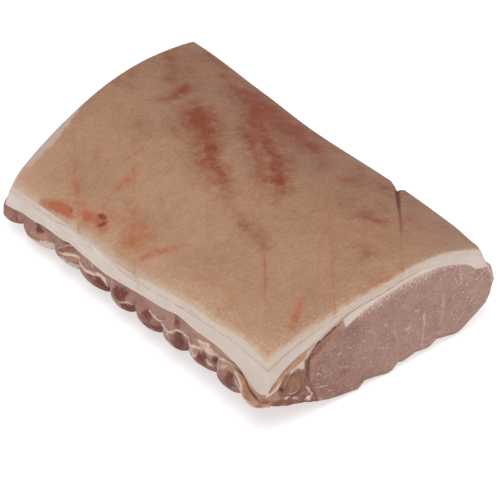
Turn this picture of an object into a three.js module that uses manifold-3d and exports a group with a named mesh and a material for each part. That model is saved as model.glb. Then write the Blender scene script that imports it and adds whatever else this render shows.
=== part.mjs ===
// A boneless pork loin joint with its rind on, as a butcher cuts it: a domed cap of back fat, the large
// eye muscle that carries most of the weight, and the thinner rib-side lean with its row of rib fingers.
//
// Frame: millimetres, +Z up. +X points out of the freshly cut end, -Y out of the thin rib side.
// The origin is on the table, under the middle of the joint's box.

import * as THREE from "three";
import { mergeVertices } from "three/addons/utils/BufferGeometryUtils.js";
import Module from "manifold-3d";

// ---- Driving dimensions -------------------------------------------------------------------------

const CUT_X = 138.5; // the cut end, a flat face across the joint
const FAR_RIB_X = -92; // the far end at the rib side, which is the shorter side
const FAR_BACK_X = -138.5; // the far end at the back side
const FAR_LEAN_RIB = 12; // how far the far end leans out below the rind, at the rib side
const FAR_LEAN_BACK = 4; // and at the back side
const FAR_LEAN_HEIGHT = 16; // the lean is complete this far below the rind

const RIB_Y = -84; // the thin rib side
const CROWN_Y = 4; // the line along which the joint is thickest
const CROWN_FAR_Z = 61;
const CROWN_CUT_Z = 66;
const RIND_EDGE = [[-92, 36], [-44, 39.5], [-14, 43], [18, 40], [76, 52], [112, 57], [138.5, 52.5]];
const FAT_EDGE = [[-92, 20], [-40, 28.5], [0, 26], [50, 33.5], [96, 37], [128, 28], [138.5, 30.5]];
const BACK_EDGE = [[-138.5, 83.5], [-60, 79], [-10, 74.5], [55, 73.8], [90, 71.4], [138.5, 66]];
const BACK_FAR_Z = 49; // height of the rind's back edge
const BACK_CUT_Z = 52;
const ROLL_FAR = 5; // the rind rolls down over the rib side by this, far end
const ROLL_CUT = 1.5; // and at the cut end
const ROLL_WIDTH = 10;

const FAT = 9.5; // thickness of the back fat with its rind
const FAT_FADE = 13; // the thicker fat of the rib side thins to it over about this width
const FINER_RIB_SIDE = 1.35; // the grid over the joint is drawn finer towards the rib side by this power
const FAT_BACK_EXTRA = 3.5; // more fat along the back edge
const GAP = 0.5; // between neighbouring layers

const FOOT_Y = -30; // where the underside leaves the table towards the rib side
const LIFT_FAR = 10; // the rib side's underside stands this far off the table
const LIFT_CUT = 15.5;
const LIFT_CORNER = 6.5; // and this much more at the very corner of the cut end
const EYE_BACK_BULGE = 17.5; // the eye muscle swells past the back edge of the fat
const EYE_FOOT_INSET = 17; // and its foot lies this far inside that edge

const SEAM_FOOT_Y = -50; // the seam between eye muscle and rib lean, at the underside
const SEAM_TOP_SHIFT = 14; // its top leans over the eye muscle
const SEAM_BELLY = 9.5; // and its middle bows towards the rib side

const GROOVES = 9; // between the rib fingers, along the rib side
const LAST_GROOVE_X = 118; // the one nearest the cut end
const GROOVE_PITCH = 21; // from that groove to the next
const GROOVE_STRETCH = 0.6; // each further pitch is longer by twice this
const GROOVE_HALF_WIDTH = 9;
const GROOVE_DEPTH = 4.5;
const GROOVE_RUN = 18; // under the joint a groove reaches that depth this far out from the seam
const FINGER_SWELL = 2; // the fingers stand out of the side

const TRIM_CUTS = [[-19, 2.8], [3, 4], [17, 3.4], [32, 5]]; // shallow cuts under the end: y, depth
const TRIM_RUN = 15; // each fades towards the back over this width
const TRIM_REACH = 45; // and fades out this far from the cut end
const TRIM_LIFT = 2.2; // between them the back half of the cut end's foot is clear of the table by this

const NODULE = { y: -66, z: 28.5, depth: 9, halfWidth: 5.4, halfHeight: 7.6, proud: 3 };
const NOTCH = { x: 68.5, y: 67.5, length: 12, width: 1.6, depth: 7 }; // where a score gapes open
const SLIT = { length: 26, heading: -0.7 }; // and the narrow slit that runs on from it

const FLAP_RIM = [[118.5, 36.5], [123, 34], [126, 28], [130, 25], [139.3, 28.5]]; // the curled flap
const FLAP_HEM = [[118.5, 33.5], [121.5, 27], [125, 21.8], [130, 19.5], [139.3, 24.5]];
const FLAP_THICKNESS = 1.5;
const FLAP_STAND = 2; // its rim stands this far further out than its hem

// ---- Small helpers --------------------------------------------------------------------------------

const mix = (a, b, t) => a + (b - a) * t;
const clamp = (t) => Math.min(1, Math.max(0, t));
const smooth = (a, b, t) => {
  const s = clamp((t - a) / (b - a));
  return s * s * (3 - 2 * s);
};

// The height of a smooth line through the stations, each [position, height].
function through(stations, at) {
  const last = stations.length - 1;
  let k = 0;
  while (k < last - 1 && at > stations[k + 1][0]) k++;
  const slope = (i) => {
    const before = stations[Math.max(0, i - 1)];
    const after = stations[Math.min(last, i + 1)];
    return (after[1] - before[1]) / (after[0] - before[0]);
  };
  const [x0, h0] = stations[k];
  const [x1, h1] = stations[k + 1];
  const span = x1 - x0;
  const t = clamp((at - x0) / span);
  const fromStart = (1 + 2 * t) * (1 - t) ** 2 * h0 + t * (1 - t) ** 2 * span * slope(k);
  return fromStart + t * t * (3 - 2 * t) * h1 + t * t * (t - 1) * span * slope(k + 1);
}

// A closed body: the six sides of a box with parameters u, v and w, each 0 to 1, bent by point(u, v, w).
function block(nu, nv, nw, point) {
  const positions = [];
  const side = (n, m, at, flip) => {
    for (let i = 0; i < n; i++) {
      for (let j = 0; j < m; j++) {
        const a = at(i / n, j / m);
        const b = at((i + 1) / n, j / m);
        const c = at((i + 1) / n, (j + 1) / m);
        const d = at(i / n, (j + 1) / m);
        const corners = flip ? [a, c, b, a, d, c] : [a, b, c, a, c, d];
        for (const corner of corners) positions.push(...corner);
      }
    }
  };
  side(nv, nw, (s, t) => point(1, s, t), false);
  side(nv, nw, (s, t) => point(0, s, t), true);
  side(nw, nu, (s, t) => point(t, 1, s), false);
  side(nw, nu, (s, t) => point(t, 0, s), true);
  side(nu, nv, (s, t) => point(s, t, 1), false);
  side(nu, nv, (s, t) => point(s, t, 0), true);
  const geometry = new THREE.BufferGeometry();
  return geometry.setAttribute("position", new THREE.Float32BufferAttribute(positions, 3));
}

// The point at (s, t) of a patch hung between four edges that meet at its corners (a Coons patch).
function patch(foot, top, left, right, s, t) {
  return [0, 1].map(
    (k) =>
      mix(foot(s)[k], top(s)[k], t) +
      mix(left(t)[k], right(t)[k], s) -
      mix(mix(foot(0)[k], foot(1)[k], s), mix(top(0)[k], top(1)[k], s), t),
  );
}

const wasm = await Module();
wasm.setup();

function solid(geometry) {
  const bare = geometry.index ? geometry.toNonIndexed() : geometry.clone();
  bare.deleteAttribute("normal");
  bare.deleteAttribute("uv");
  const merged = mergeVertices(bare, 1e-3);
  return new wasm.Manifold(
    new wasm.Mesh({
      numProp: 3,
      vertProperties: merged.attributes.position.array,
      triVerts: new Uint32Array(merged.index.array),
    }),
  );
}

function subtract(geometry, tool) {
  const { numProp, vertProperties, triVerts } = solid(geometry).subtract(solid(tool)).getMesh();
  if (numProp !== 3) throw new Error("the cut body should hold positions only");
  return new THREE.BufferGeometry()
    .setAttribute("position", new THREE.BufferAttribute(vertProperties, 3))
    .setIndex(new THREE.BufferAttribute(triVerts, 1));
}

// ---- The joint's surfaces, as heights over the table ----------------------------------------------

const alongJoint = (x) => clamp((x - FAR_BACK_X) / (CUT_X - FAR_BACK_X));
const acrossJoint = (y) => clamp((y - RIB_Y) / (through(BACK_EDGE, FAR_BACK_X) - RIB_Y));
const backEdgeY = (x) => through(BACK_EDGE, x);
const roll = (x) => mix(ROLL_FAR, ROLL_CUT, alongJoint(x));

// The rind without its rolled edge: up from the rib side to the crown, then down to the back edge.
function dome(x, y) {
  const along = alongJoint(x);
  const crown = mix(CROWN_FAR_Z, CROWN_CUT_Z, along);
  if (y < CROWN_Y) {
    const t = clamp((y - RIB_Y) / (CROWN_Y - RIB_Y));
    return mix(through(RIND_EDGE, x) + roll(x), crown, 1 - (1 - t) ** mix(1.9, 1.25, along));
  }
  const s = clamp((backEdgeY(x) - y) / (backEdgeY(x) - CROWN_Y));
  return mix(mix(BACK_FAR_Z, BACK_CUT_Z, along), crown, Math.sin((Math.PI / 2) * s) ** 0.85);
}

function rindHeight(x, y) {
  const fromEdge = clamp((y - RIB_Y) / ROLL_WIDTH);
  return dome(x, y) - roll(x) * (1 - fromEdge) ** 2;
}

// The underside of the fat: thick at the rib side, even over the eye muscle, thicker again at the back.
function fatFoot(x, y) {
  const ribExtra = dome(x, RIB_Y) - FAT - through(FAT_EDGE, x);
  const ribFade = Math.exp(-Math.max(0, y - RIB_Y) / FAT_FADE);
  return dome(x, y) - FAT - ribExtra * ribFade - FAT_BACK_EXTRA * smooth(-20, 0, y - backEdgeY(x));
}

// 0 on the fingers and 1 in the grooves between them, along the rib side.
function ribGroove(x) {
  let nearest = 0;
  for (let k = 0; k < GROOVES; k++) {
    const grooveX = LAST_GROOVE_X - GROOVE_PITCH * k - GROOVE_STRETCH * k * k;
    nearest = Math.max(nearest, 1 - Math.abs(x - grooveX) / GROOVE_HALF_WIDTH);
  }
  return nearest ** 2;
}

// How deep the trimming cuts bite under the cut end: steep on the rib side, fading towards the back.
function trimDepth(x, y) {
  const bites = TRIM_CUTS.map(([cutY, depth]) => {
    const beyond = y - cutY;
    return depth * (beyond < 0 ? clamp(1 + beyond / 3) : clamp(1 - beyond / TRIM_RUN));
  });
  const depthHere = Math.max(...bites, TRIM_LIFT * smooth(-2, 10, y));
  return depthHere * smooth(CUT_X - TRIM_REACH, CUT_X, x);
}

// The underside: flat on the table, lifted towards the rib side, with its grooves.
function underside(x, y) {
  const outwards = Math.max(0, (FOOT_Y - y) / (FOOT_Y - RIB_Y));
  const lift = mix(LIFT_FAR, LIFT_CUT, smooth(-80, 110, x)) + LIFT_CORNER * smooth(120, CUT_X, x);
  return (
    lift * outwards ** 1.2 +
    GROOVE_DEPTH * ribGroove(x) * clamp((SEAM_FOOT_Y - GAP - y) / GROOVE_RUN) +
    trimDepth(x, y)
  );
}

// The far end runs slantwise across the joint, and leans out below the rind. u runs from it, 0, to the
// cut end, 1.
function stationX(u, y, z) {
  const across = acrossJoint(y);
  const rimX = mix(FAR_RIB_X, FAR_BACK_X, across);
  const lean = mix(FAR_LEAN_RIB, FAR_LEAN_BACK, Math.sqrt(across));
  return mix(rimX - lean * clamp((rindHeight(rimX, y) - z) / FAR_LEAN_HEIGHT), CUT_X, u);
}

// The height of a surface of the joint at the station u.
function heightAt(surface, u, y) {
  const roughX = stationX(u, y, surface(stationX(u, y, CROWN_FAR_Z), y));
  return surface(stationX(u, y, surface(roughX, y)), y);
}

// The seam between eye muscle and rib lean, from the underside at t = 0 to the fat at t = 1.
function seamY(t) {
  return SEAM_FOOT_Y + SEAM_TOP_SHIFT * t ** 6 - SEAM_BELLY * Math.sin(Math.PI * t ** 1.6);
}

// ---- The pieces -------------------------------------------------------------------------------------

// Back fat with the rind on it, and the open score at its back edge.
function fatCap() {
  const cap = block(28, 20, 2, (u, evenV, w) => {
    const v = evenV ** FINER_RIB_SIDE;
    const roughX = mix(mix(FAR_RIB_X, FAR_BACK_X, v), CUT_X, u);
    const y = mix(RIB_Y, backEdgeY(roughX) + 3.5 * (1 - w), v);
    const z = mix(heightAt(fatFoot, u, y), heightAt(rindHeight, u, y), w);
    return [stationX(u, y, z), y, z];
  });
  const tip = [Math.cos(SLIT.heading) * SLIT.length, Math.sin(SLIT.heading) * SLIT.length];
  const outline = new THREE.Shape()
    .moveTo(-1.4 * NOTCH.length, NOTCH.length)
    .lineTo(-NOTCH.width / 2, -NOTCH.width / 2)
    .lineTo(tip[0], tip[1])
    .lineTo(NOTCH.width / 2, 0)
    .lineTo(NOTCH.width / 2, NOTCH.length)
    .closePath();
  const blade = new THREE.ExtrudeGeometry(outline, { depth: 40, bevelEnabled: false });
  blade.rotateY(-0.26);
  blade.translate(NOTCH.x, NOTCH.y, rindHeight(NOTCH.x, NOTCH.y) - NOTCH.depth);
  return subtract(cap, blade);
}

// The eye muscle: flat on the table, its top under the fat, its back rounded, its front the seam.
function loinEye() {
  return block(28, 13, 6, (u, v, w) => {
    const back = backEdgeY(mix(mix(FAR_RIB_X, FAR_BACK_X, v), CUT_X, u));
    const footBackY = back - EYE_FOOT_INSET;
    const topY = (s) => mix(seamY(1), back, s);
    const top = (s) => [topY(s), heightAt(fatFoot, u, topY(s)) - GAP];
    const foot = (s) => {
      const y = mix(SEAM_FOOT_Y, footBackY, s);
      return [y, heightAt(underside, u, y)];
    };
    const front = (t) => [seamY(t), mix(foot(0)[1], top(0)[1], t)];
    const rear = (t) => [
      mix(footBackY, back, t) + EYE_BACK_BULGE * Math.sin(Math.PI * t ** 1.1) ** 0.85,
      mix(foot(1)[1], top(1)[1], t),
    ];
    const [y, z] = patch(foot, top, front, rear, v, w);
    return [stationX(u, y, z), y, z];
  });
}

// The lean along the rib side, from the seam out to the rib fingers, with the hollow of the nodule.
function ribLean() {
  const lean = block(60, 6, 6, (u, evenV, w) => {
    const v = evenV ** FINER_RIB_SIDE;
    const topY = (s) => mix(RIB_Y, seamY(1) - GAP, s);
    const top = (s) => [topY(s), heightAt(fatFoot, u, topY(s)) - GAP];
    const foot = (s) => {
      const y = mix(RIB_Y, SEAM_FOOT_Y - GAP, s);
      return [y, heightAt(underside, u, y)];
    };
    const swell = (t) =>
      FINGER_SWELL *
      (1 - 1.8 * ribGroove(stationX(u, RIB_Y, 15))) *
      Math.sin(Math.PI * clamp(t / 0.8)) ** 0.8;
    const rib = (t) => [RIB_Y - swell(t), mix(foot(0)[1], top(0)[1], t)];
    const seam = (t) => [seamY(t) - GAP, mix(foot(1)[1], top(1)[1], t)];
    const [y, z] = patch(foot, top, rib, seam, v, w);
    return [stationX(u, y, z), y, z];
  });
  return subtract(lean, noduleBody(GAP));
}

// The rounded end of a small strip of muscle, seated in the rib lean and standing out of the cut end.
function noduleBody(grow) {
  const body = new THREE.SphereGeometry(1, 16, 12);
  body.scale(NODULE.depth + grow, NODULE.halfWidth + grow, NODULE.halfHeight + grow);
  body.translate(CUT_X + NODULE.proud - NODULE.depth, NODULE.y, NODULE.z);
  return body;
}

// A curled flap of membrane at the corner: it hangs outside the rib lean, its upper edge standing off.
function cornerFlap() {
  return block(16, 8, 1, (u, v, w) => {
    const x = mix(FLAP_RIM[0][0], FLAP_RIM.at(-1)[0], u);
    const bow = Math.sin(Math.PI * u);
    const innerY = RIB_Y - FINGER_SWELL - GAP - (1 + FLAP_STAND * v ** 2) * bow;
    return [x, innerY - FLAP_THICKNESS * w, mix(through(FLAP_HEM, x), through(FLAP_RIM, x), v)];
  });
}

// ---- The joint ----------------------------------------------------------------------------------------

const meat = new THREE.MeshStandardMaterial({ color: 0x9f7c71, roughness: 0.5, metalness: 0 });
const ribMeat = new THREE.MeshStandardMaterial({ color: 0x8d6459, roughness: 0.45, metalness: 0 });
const rindAndFat = new THREE.MeshStandardMaterial({ color: 0xae876c, roughness: 0.55, metalness: 0 });
const driedMeat = new THREE.MeshStandardMaterial({ color: 0x926a57, roughness: 0.5, metalness: 0 });
const membrane = new THREE.MeshStandardMaterial({ color: 0xa98571, roughness: 0.4, metalness: 0 });

function piece(name, geometry, material) {
  geometry.computeVertexNormals();
  const mesh = new THREE.Mesh(geometry, material);
  mesh.name = name;
  return mesh;
}

const joint = new THREE.Group();
joint.add(
  piece("fat_cap", fatCap(), rindAndFat),
  piece("loin_eye", loinEye(), meat),
  piece("rib_lean", ribLean(), ribMeat),
  piece("seam_nodule", noduleBody(0), driedMeat),
  piece("corner_flap", cornerFlap(), membrane),
);

// The origin goes under the middle of the joint's box, at table height.
const box = new THREE.Box3().setFromObject(joint);
const centre = box.getCenter(new THREE.Vector3());
joint.position.set(-centre.x, -centre.y, -box.min.z);

const part = new THREE.Group();
part.add(joint);

export default part;
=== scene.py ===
import math

import bpy
import numpy as np
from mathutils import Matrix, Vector


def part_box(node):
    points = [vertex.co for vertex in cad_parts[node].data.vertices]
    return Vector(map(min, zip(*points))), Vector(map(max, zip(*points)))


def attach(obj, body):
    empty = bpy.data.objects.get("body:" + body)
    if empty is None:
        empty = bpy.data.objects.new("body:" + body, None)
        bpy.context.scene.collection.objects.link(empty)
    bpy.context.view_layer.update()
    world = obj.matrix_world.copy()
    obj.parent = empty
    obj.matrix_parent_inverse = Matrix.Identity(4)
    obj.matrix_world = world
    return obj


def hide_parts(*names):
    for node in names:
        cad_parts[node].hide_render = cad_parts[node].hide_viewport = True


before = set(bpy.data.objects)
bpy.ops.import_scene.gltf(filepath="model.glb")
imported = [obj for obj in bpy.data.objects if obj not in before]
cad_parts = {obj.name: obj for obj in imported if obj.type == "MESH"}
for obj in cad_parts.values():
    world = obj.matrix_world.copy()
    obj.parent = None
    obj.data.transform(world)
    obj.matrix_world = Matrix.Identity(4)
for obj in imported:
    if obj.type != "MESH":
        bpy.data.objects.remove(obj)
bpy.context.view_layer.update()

bl_info = {
    "name": "Pork loin joint",
    "version": (1, 0, 0),
    "blender": (4, 5, 0),
    "location": "3D View > Sidebar > Pork loin",
    "description": "A raw boneless pork loin joint with its rind, made layer by layer",
    "category": "Object",
}

# ---- The joint's own measures, in millimetres -------------------------------------------------------
# +X points out of the cut end, -Y out of the thin rib side, +Z up. SHIFT takes them to the frame. An
# outline is a list of stations, each a place and a height, for a smooth line to run through.

# The cut end is square; the far end slants from the rib side to the back and leans out below the rind.
CUT_X = 138.5
FAR_RIB_X, FAR_BACK_X = -92.0, -138.5
FAR_LEAN_RIB, FAR_LEAN_BACK, FAR_LEAN_HEIGHT = 12.0, 4.0, 16.0
# The rind: the rib side and the crown of its dome, its edges on both sides, and its swell at the cut end.
RIB_Y, CROWN_Y = -84.0, 4.0
CROWN_FAR_Z, CROWN_CUT_Z, FAR_SWELL = 61.0, 65.8, 2.3
RIND_EDGE = [
    [-92, 36], [-44, 39.3], [-18, 40.8], [-4, 40.8], [18, 40], [48, 46.2], [76, 50.8], [92, 51.8],
    [104, 53], [118, 55.2], [128, 54.5], [138.5, 52.5],
]
BACK_EDGE = [[-138.5, 83.7], [-94, 82.2], [-60, 79.6], [-10, 74.8], [55, 73.9], [90, 72], [138.5, 67.5]]
BACK_FAR_Z, BACK_CUT_Z = 49.0, 52.0
ROLL_FAR, ROLL_CUT, ROLL_WIDTH = 5.0, 1.5, 10.0
CUT_SWELL = [
    [-84, 0], [-30, 0], [-12, -0.9], [0, -1.2], [8, -0.2], [17, 0.6], [34, 1.3], [44, 1.2], [58, 0.4],
    [70, 0],
]
SWELL_REACH = 70.0
# The fat: its thickness over the eye muscle, its lower edge along the rib side, and how much thicker it
# is at the cut end, from the seam to the back.
FAT, FAT_FADE, FAT_BACK_EXTRA = 9.5, 13.0, 3.5
FAT_EDGE = [
    [-104, 16], [-92, 18.2], [-84, 19.9], [-72, 21], [-62, 23.2], [-44, 23.9], [-37, 25.7], [-27, 25.2],
    [-2, 24.3], [13, 26.7], [28, 29.2], [48, 32], [57, 34], [65, 35.9], [78, 34.9], [98, 35.8], [108, 34.6],
    [116, 32.8], [121, 28.8], [126, 26.8], [132, 26], [138.5, 29.7],
]
FAT_PARTING = [
    [-84, 0], [-62, 0], [-54, 0.9], [-49, 0.6], [-44, -0.4], [-37, -1.0], [-33.5, -0.6], [-31.5, 4.4],
    [-22, 1.7], [-15, 0.7], [-8, 0.4], [0, 0.2], [8, -0.6], [18, -1.5], [34, -1.9], [47, -0.4], [55, 0.3],
    [60, 0.5], [64, 0.2], [68, -1.0],
]
PARTING_REACH = 32.0
# The underside: flat on the table from the foot line inwards, and lifted towards the rib side.
FOOT_Y = -30.0
LIFT_FAR, LIFT_CUT, LIFT_CORNER = 10.0, 15.5, 6.5
GROOVES, LAST_GROOVE_X, GROOVE_PITCH, GROOVE_STRETCH = 9, 118.0, 21.0, 0.6
GROOVE_HALF_WIDTH, GROOVE_DEPTH, GROOVE_RUN = 9.0, 4.5, 18.0
# The trimmed underside of the cut end, steps and all, and how far in it reaches.
CUT_FOOT = [
    [-84, 22.2], [-75, 16.9], [-69, 14.7], [-65, 14.1], [-61.7, 13.2], [-49.4, 7.9], [-42, 4.8], [-34, 3],
    [-22, 0.8], [-20, 2.4], [-17.5, 4.3], [-9.5, 2.8], [-0.7, 0.4], [1.4, 0.8], [5.5, 4.7], [10, 3.1],
    [18.6, 4.8], [27.5, 3.1], [32, 6], [36, 5.6], [47.8, 2.5], [58, 5.2],
]
TRIM_REACH = 45.0
# The eye muscle and its seam, and the bulging back of the cut end, by height, with how far in that reaches.
EYE_BLOCK = (250, 118, 50)
EYE_BACK_BULGE, EYE_FOOT_INSET = 16.6, 17.0
SEAM_FOOT_Y, SEAM_TOP_SHIFT, SEAM_BELLY = -50.0, 14.0, 9.5
CUT_BACK = [
    [2.6, 49.4], [4.2, 55], [7.9, 61.8], [10.8, 67.5], [14, 73], [19.5, 76.4], [27.5, 77.7], [35, 75.4],
    [41, 71.4], [44.5, 67.8], [48, 64.6],
]
BACK_REACH = 60.0
# The rib-side lean, and its fingers: where each begins, how high the groove there is, and its lowest edge.
RIB_BLOCK = (240, 34, 28)
FINGERS = [
    [-106, 18, 9.4], [-84, 14.4, 8], [-51, 14.4, 10.7], [-26.7, 13.2, 11], [3, 15.8, 10.2],
    [26.6, 16.8, 11.3], [51, 16.6, 12.2], [73.4, 19.6, 15.2], [97, 17.8, 14.3], [120, 20.4, 17],
    [143, 24, 24],
]
FINGER_SWELL, FINGER_LEVEL = 4.7, 0.34
# Neighbouring layers run into each other by this much, so that no light shows between them.
OVERLAP = 0.3
# How round the edges are: where layers meet, on the rind, at its back corner, and on the two leans.
MEETING_EDGE, RIND_EDGE_RADIUS, BACK_CORNER_RADIUS, EYE_RADIUS, RIB_RADIUS = 0.12, 1.3, 3.5, 1.3, 3.6
# The open score: the notch that it cuts in the back edge, and the slit that runs on from it.
NOTCH_X, NOTCH_Y, NOTCH_OPEN, NOTCH_BITE, NOTCH_DEPTH = 68.5, 67.5, 11.5, 5.5, 7.0
NOTCH_STEEP, NOTCH_PULL = 0.8, 22.0
SLIT_LENGTH, SLIT_HEADING, SLIT_HALF_WIDTHS, SLIT_DEPTHS = 62.0, -0.706, (1.8, 0.7), (1.6, 0.6)
# The other scores: the groove that each leaves in the rind, and how it notches the walls.
SCORE_DEPTH, SCORE_WIDTH, SCORE_CUT_DEPTH, SCORE_CUT_WIDTH = 0.12, 0.9, 0.9, 1.2
# The dried nodule in the cut end, and how far its block reaches in and stands proud.
NODULE_Y, NODULE_Z, NODULE_DEEP, NODULE_PROUD = -64.9, 28.7, 9.0, 2.7
NODULE_HALF_WIDTH, NODULE_HALF_HEIGHT, NODULE_TILT = 6.9, 8.0, 0.3
NODULE_CELLS = 26
# The flap: its free hem and its rim along the side, through stations of run, x, y and z.
FLAP_HEM = [
    [0, 114.2, -85.2, 31.4], [0.12, 118.4, -86.6, 29.6], [0.27, 121.6, -87.4, 26.8],
    [0.42, 122.8, -88, 22.6], [0.57, 126.6, -87.9, 20], [0.75, 131.4, -87.7, 20.2], [0.88, 136, -86.9, 22],
    [1, 139.8, -84.2, 23.4],
]
FLAP_RIM = [
    [0, 115, -84.4, 32.6], [0.12, 119.8, -84.4, 31.2], [0.27, 122.8, -84.6, 28.6], [0.42, 125, -84.7, 26],
    [0.57, 128, -84.8, 24.4], [0.75, 132, -84.8, 23.8], [0.88, 136.4, -84.6, 24.6], [1, 139.4, -82, 26],
]
FLAP_LENGTH, FLAP_WIDTH, FLAP_THICKNESS = 26, 8, 1.3
# Which way the flap's sheet faces, in y and z.
FLAP_OUT_Y, FLAP_OUT_Z = -0.76, 0.65
# How many cells along the fat's hidden underside make one face.
HIDDEN_STRIP = 10
# Past this angle, in degrees, an edge is shaded as sharp.
SHARP_ANGLE = 48
# The stage, in metres and degrees: floor, lamp and camera.
FLOOR_HALF, FLOOR_DROP = 6.0, 0.0003
KEY_PLACE, KEY_AIM, KEY_SIZE = (0.45, -0.42, 1.15), (0, 0, 0.03), 0.9
CAMERA_AZIMUTH, CAMERA_ELEVATION, CAMERA_AIM = 51.0, 36.0, (0.0087, 0.00915, 0.004)
SHIFT = np.array([
    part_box("loin_eye")[1].x * 1000 - CUT_X,
    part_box("fat_cap")[0].y * 1000 - RIB_Y,
    0.0,
])


# ---- Shape functions --------------------------------------------------------------------------------


def mix(a, b, t):
    """Straight from a at t = 0 to b at t = 1."""
    return a + (b - a) * t


def unit(t):
    """t held between 0 and 1."""
    return np.clip(t, 0.0, 1.0)


def smooth(a, b, t):
    """0 before a, 1 after b, and an even S-curve between them."""
    s = unit((t - a) / (b - a))
    return s * s * (3 - 2 * s)


def through(stations, at):
    """The height of a smooth line (a cubic Hermite spline) through stations of position and height."""
    x, h = np.array(stations, float).T
    last = len(x) - 1
    before, after = np.maximum(np.arange(last + 1) - 1, 0), np.minimum(np.arange(last + 1) + 1, last)
    slope = (h[after] - h[before]) / (x[after] - x[before])
    k = np.clip(np.searchsorted(x, at, side="right") - 1, 0, last - 1)
    span = x[k + 1] - x[k]
    t = unit((at - x[k]) / span)
    start = (1 + 2 * t) * (1 - t) ** 2 * h[k] + t * (1 - t) ** 2 * span * slope[k]
    return start + t * t * (3 - 2 * t) * h[k + 1] + t * t * (t - 1) * span * slope[k + 1]


def between(stations, at):
    """The height of a broken line through stations: straight from each to the next."""
    return np.interp(at, *np.array(stations).T)


def ripple(x, y, wavelength, seed, waves=9):
    """Soft uneven relief between about -1 and 1: a sum of sine waves of random headings and phases."""
    rng = np.random.default_rng(seed)
    total = np.zeros(np.broadcast(x, y).shape)
    for _ in range(waves):
        heading, phase = rng.uniform(0, math.tau, 2)
        pitch = wavelength * rng.uniform(0.6, 1.6)
        along = x * math.cos(heading) + y * math.sin(heading)
        total = total + np.sin(along * math.tau / pitch + phase)
    return total / math.sqrt(waves)


def along_joint(x):
    """0 at the far end's back corner, 1 at the cut end."""
    return unit((x - FAR_BACK_X) / (CUT_X - FAR_BACK_X))


def across_joint(y):
    """0 at the rib side, 1 at the back edge's widest."""
    return unit((y - RIB_Y) / (BACK_EDGE[0][1] - RIB_Y))


def back_edge_y(x):
    """The rind's back edge, a smooth line through its stations."""
    return through(BACK_EDGE, x)


def roll(x):
    """How far the rind rolls down at the rib side: less and less towards the cut end."""
    return mix(ROLL_FAR, ROLL_CUT, along_joint(x))


def cut_swell(x, y):
    """How far the rind stands above or below its plain dome near the cut end."""
    return through(CUT_SWELL, y) * smooth(CUT_X - SWELL_REACH, CUT_X - 2, x)


def dome(x, y):
    """The rind without its rolled edge: up from the rib side to the crown in a power curve, down to the back
    edge in a power of a sine, with a swell at the far end's back and the cut end's own swell."""
    along = along_joint(x)
    crown = mix(CROWN_FAR_Z, CROWN_CUT_Z, along)
    t = unit((y - RIB_Y) / (CROWN_Y - RIB_Y))
    rib_side = mix(through(RIND_EDGE, x) + roll(x), crown, 1 - (1 - t) ** mix(1.9, 1.25, along))
    s = unit((back_edge_y(x) - y) / (back_edge_y(x) - CROWN_Y))
    back_side = mix(mix(BACK_FAR_Z, BACK_CUT_Z, along), crown, np.sin(math.pi / 2 * s) ** 0.85)
    far_swell = FAR_SWELL * smooth(-70, -130, x) * smooth(-40, 40, y)
    return np.where(y < CROWN_Y, rib_side, back_side) + far_swell + cut_swell(x, y)


def rind_height(x, y):
    """The dome, less a parabola that rolls its rib edge down."""
    return dome(x, y) - roll(x) * (1 - unit((y - RIB_Y) / ROLL_WIDTH)) ** 2


def fat_foot(x, y):
    """The underside of the fat: the dome less its thickness, which is greater at the rib side and the back,
    and at the cut end parts from the meat unevenly, with a ragged edge above the seam."""
    rib_extra = dome(x, RIB_Y) - FAT - through(FAT_EDGE, x)
    rib_fade = np.exp(-np.maximum(0, y - RIB_Y) / FAT_FADE)
    back = FAT_BACK_EXTRA * smooth(-20, 0, y - back_edge_y(x))
    uneven = through(FAT_PARTING, y) * smooth(CUT_X - PARTING_REACH, CUT_X - 2, x) + cut_swell(x, y)
    above_seam = smooth(-60, -54, y) * (1 - smooth(-38, -26, y)) * smooth(CUT_X - 8, CUT_X, x)
    ragged = 0.45 * ripple(y, x, 3.4, 31) * above_seam
    return ragged + dome(x, y) - FAT - rib_extra * rib_fade - back - uneven


def rib_groove(x):
    """0 on the rib fingers and 1 in the grooves between them, in parabolas."""
    nearest = np.zeros_like(x)
    for k in range(GROOVES):
        groove_x = LAST_GROOVE_X - GROOVE_PITCH * k - GROOVE_STRETCH * k * k
        nearest = np.maximum(nearest, 1 - np.abs(x - groove_x) / GROOVE_HALF_WIDTH)
    return nearest**2


def underside(x, y):
    """Flat on the table, lifted in a power curve towards the rib side, with its grooves; near the cut end it
    turns into the trimmed outline."""
    outwards = np.maximum(0, (FOOT_Y - y) / (FOOT_Y - RIB_Y))
    lift = mix(LIFT_FAR, LIFT_CUT, smooth(-80, 110, x)) + LIFT_CORNER * smooth(120, CUT_X, x)
    groove = GROOVE_DEPTH * rib_groove(x) * unit((SEAM_FOOT_Y - 0.5 - y) / GROOVE_RUN)
    general = lift * outwards**1.2 + groove
    return mix(general, between(CUT_FOOT, y), smooth(CUT_X - TRIM_REACH, CUT_X - 1, x))


def station_x(u, y, z):
    """From the far end, which runs slantwise and leans out below the rind, at u = 0, to the cut end."""
    across = across_joint(y)
    rim_x = mix(FAR_RIB_X, FAR_BACK_X, across)
    lean = mix(FAR_LEAN_RIB, FAR_LEAN_BACK, np.sqrt(across))
    far_x = rim_x - lean * unit((rind_height(rim_x, y) - z) / FAR_LEAN_HEIGHT) ** 0.8
    return mix(far_x, CUT_X, u)


def height_at(surface, u, y):
    """A surface's height at station u: the station's x hangs on the height, so it is found in two rounds."""
    rough_x = station_x(u, y, surface(station_x(u, y, CROWN_FAR_Z), y))
    return surface(station_x(u, y, surface(rough_x, y)), y)


def seam_y(t):
    """The seam between eye muscle and rib lean, from the underside, 0, to the fat, 1: a belly, then a bend
    towards the back."""
    return SEAM_FOOT_Y + SEAM_TOP_SHIFT * t**6 - SEAM_BELLY * np.sin(math.pi * t**1.6)


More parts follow.
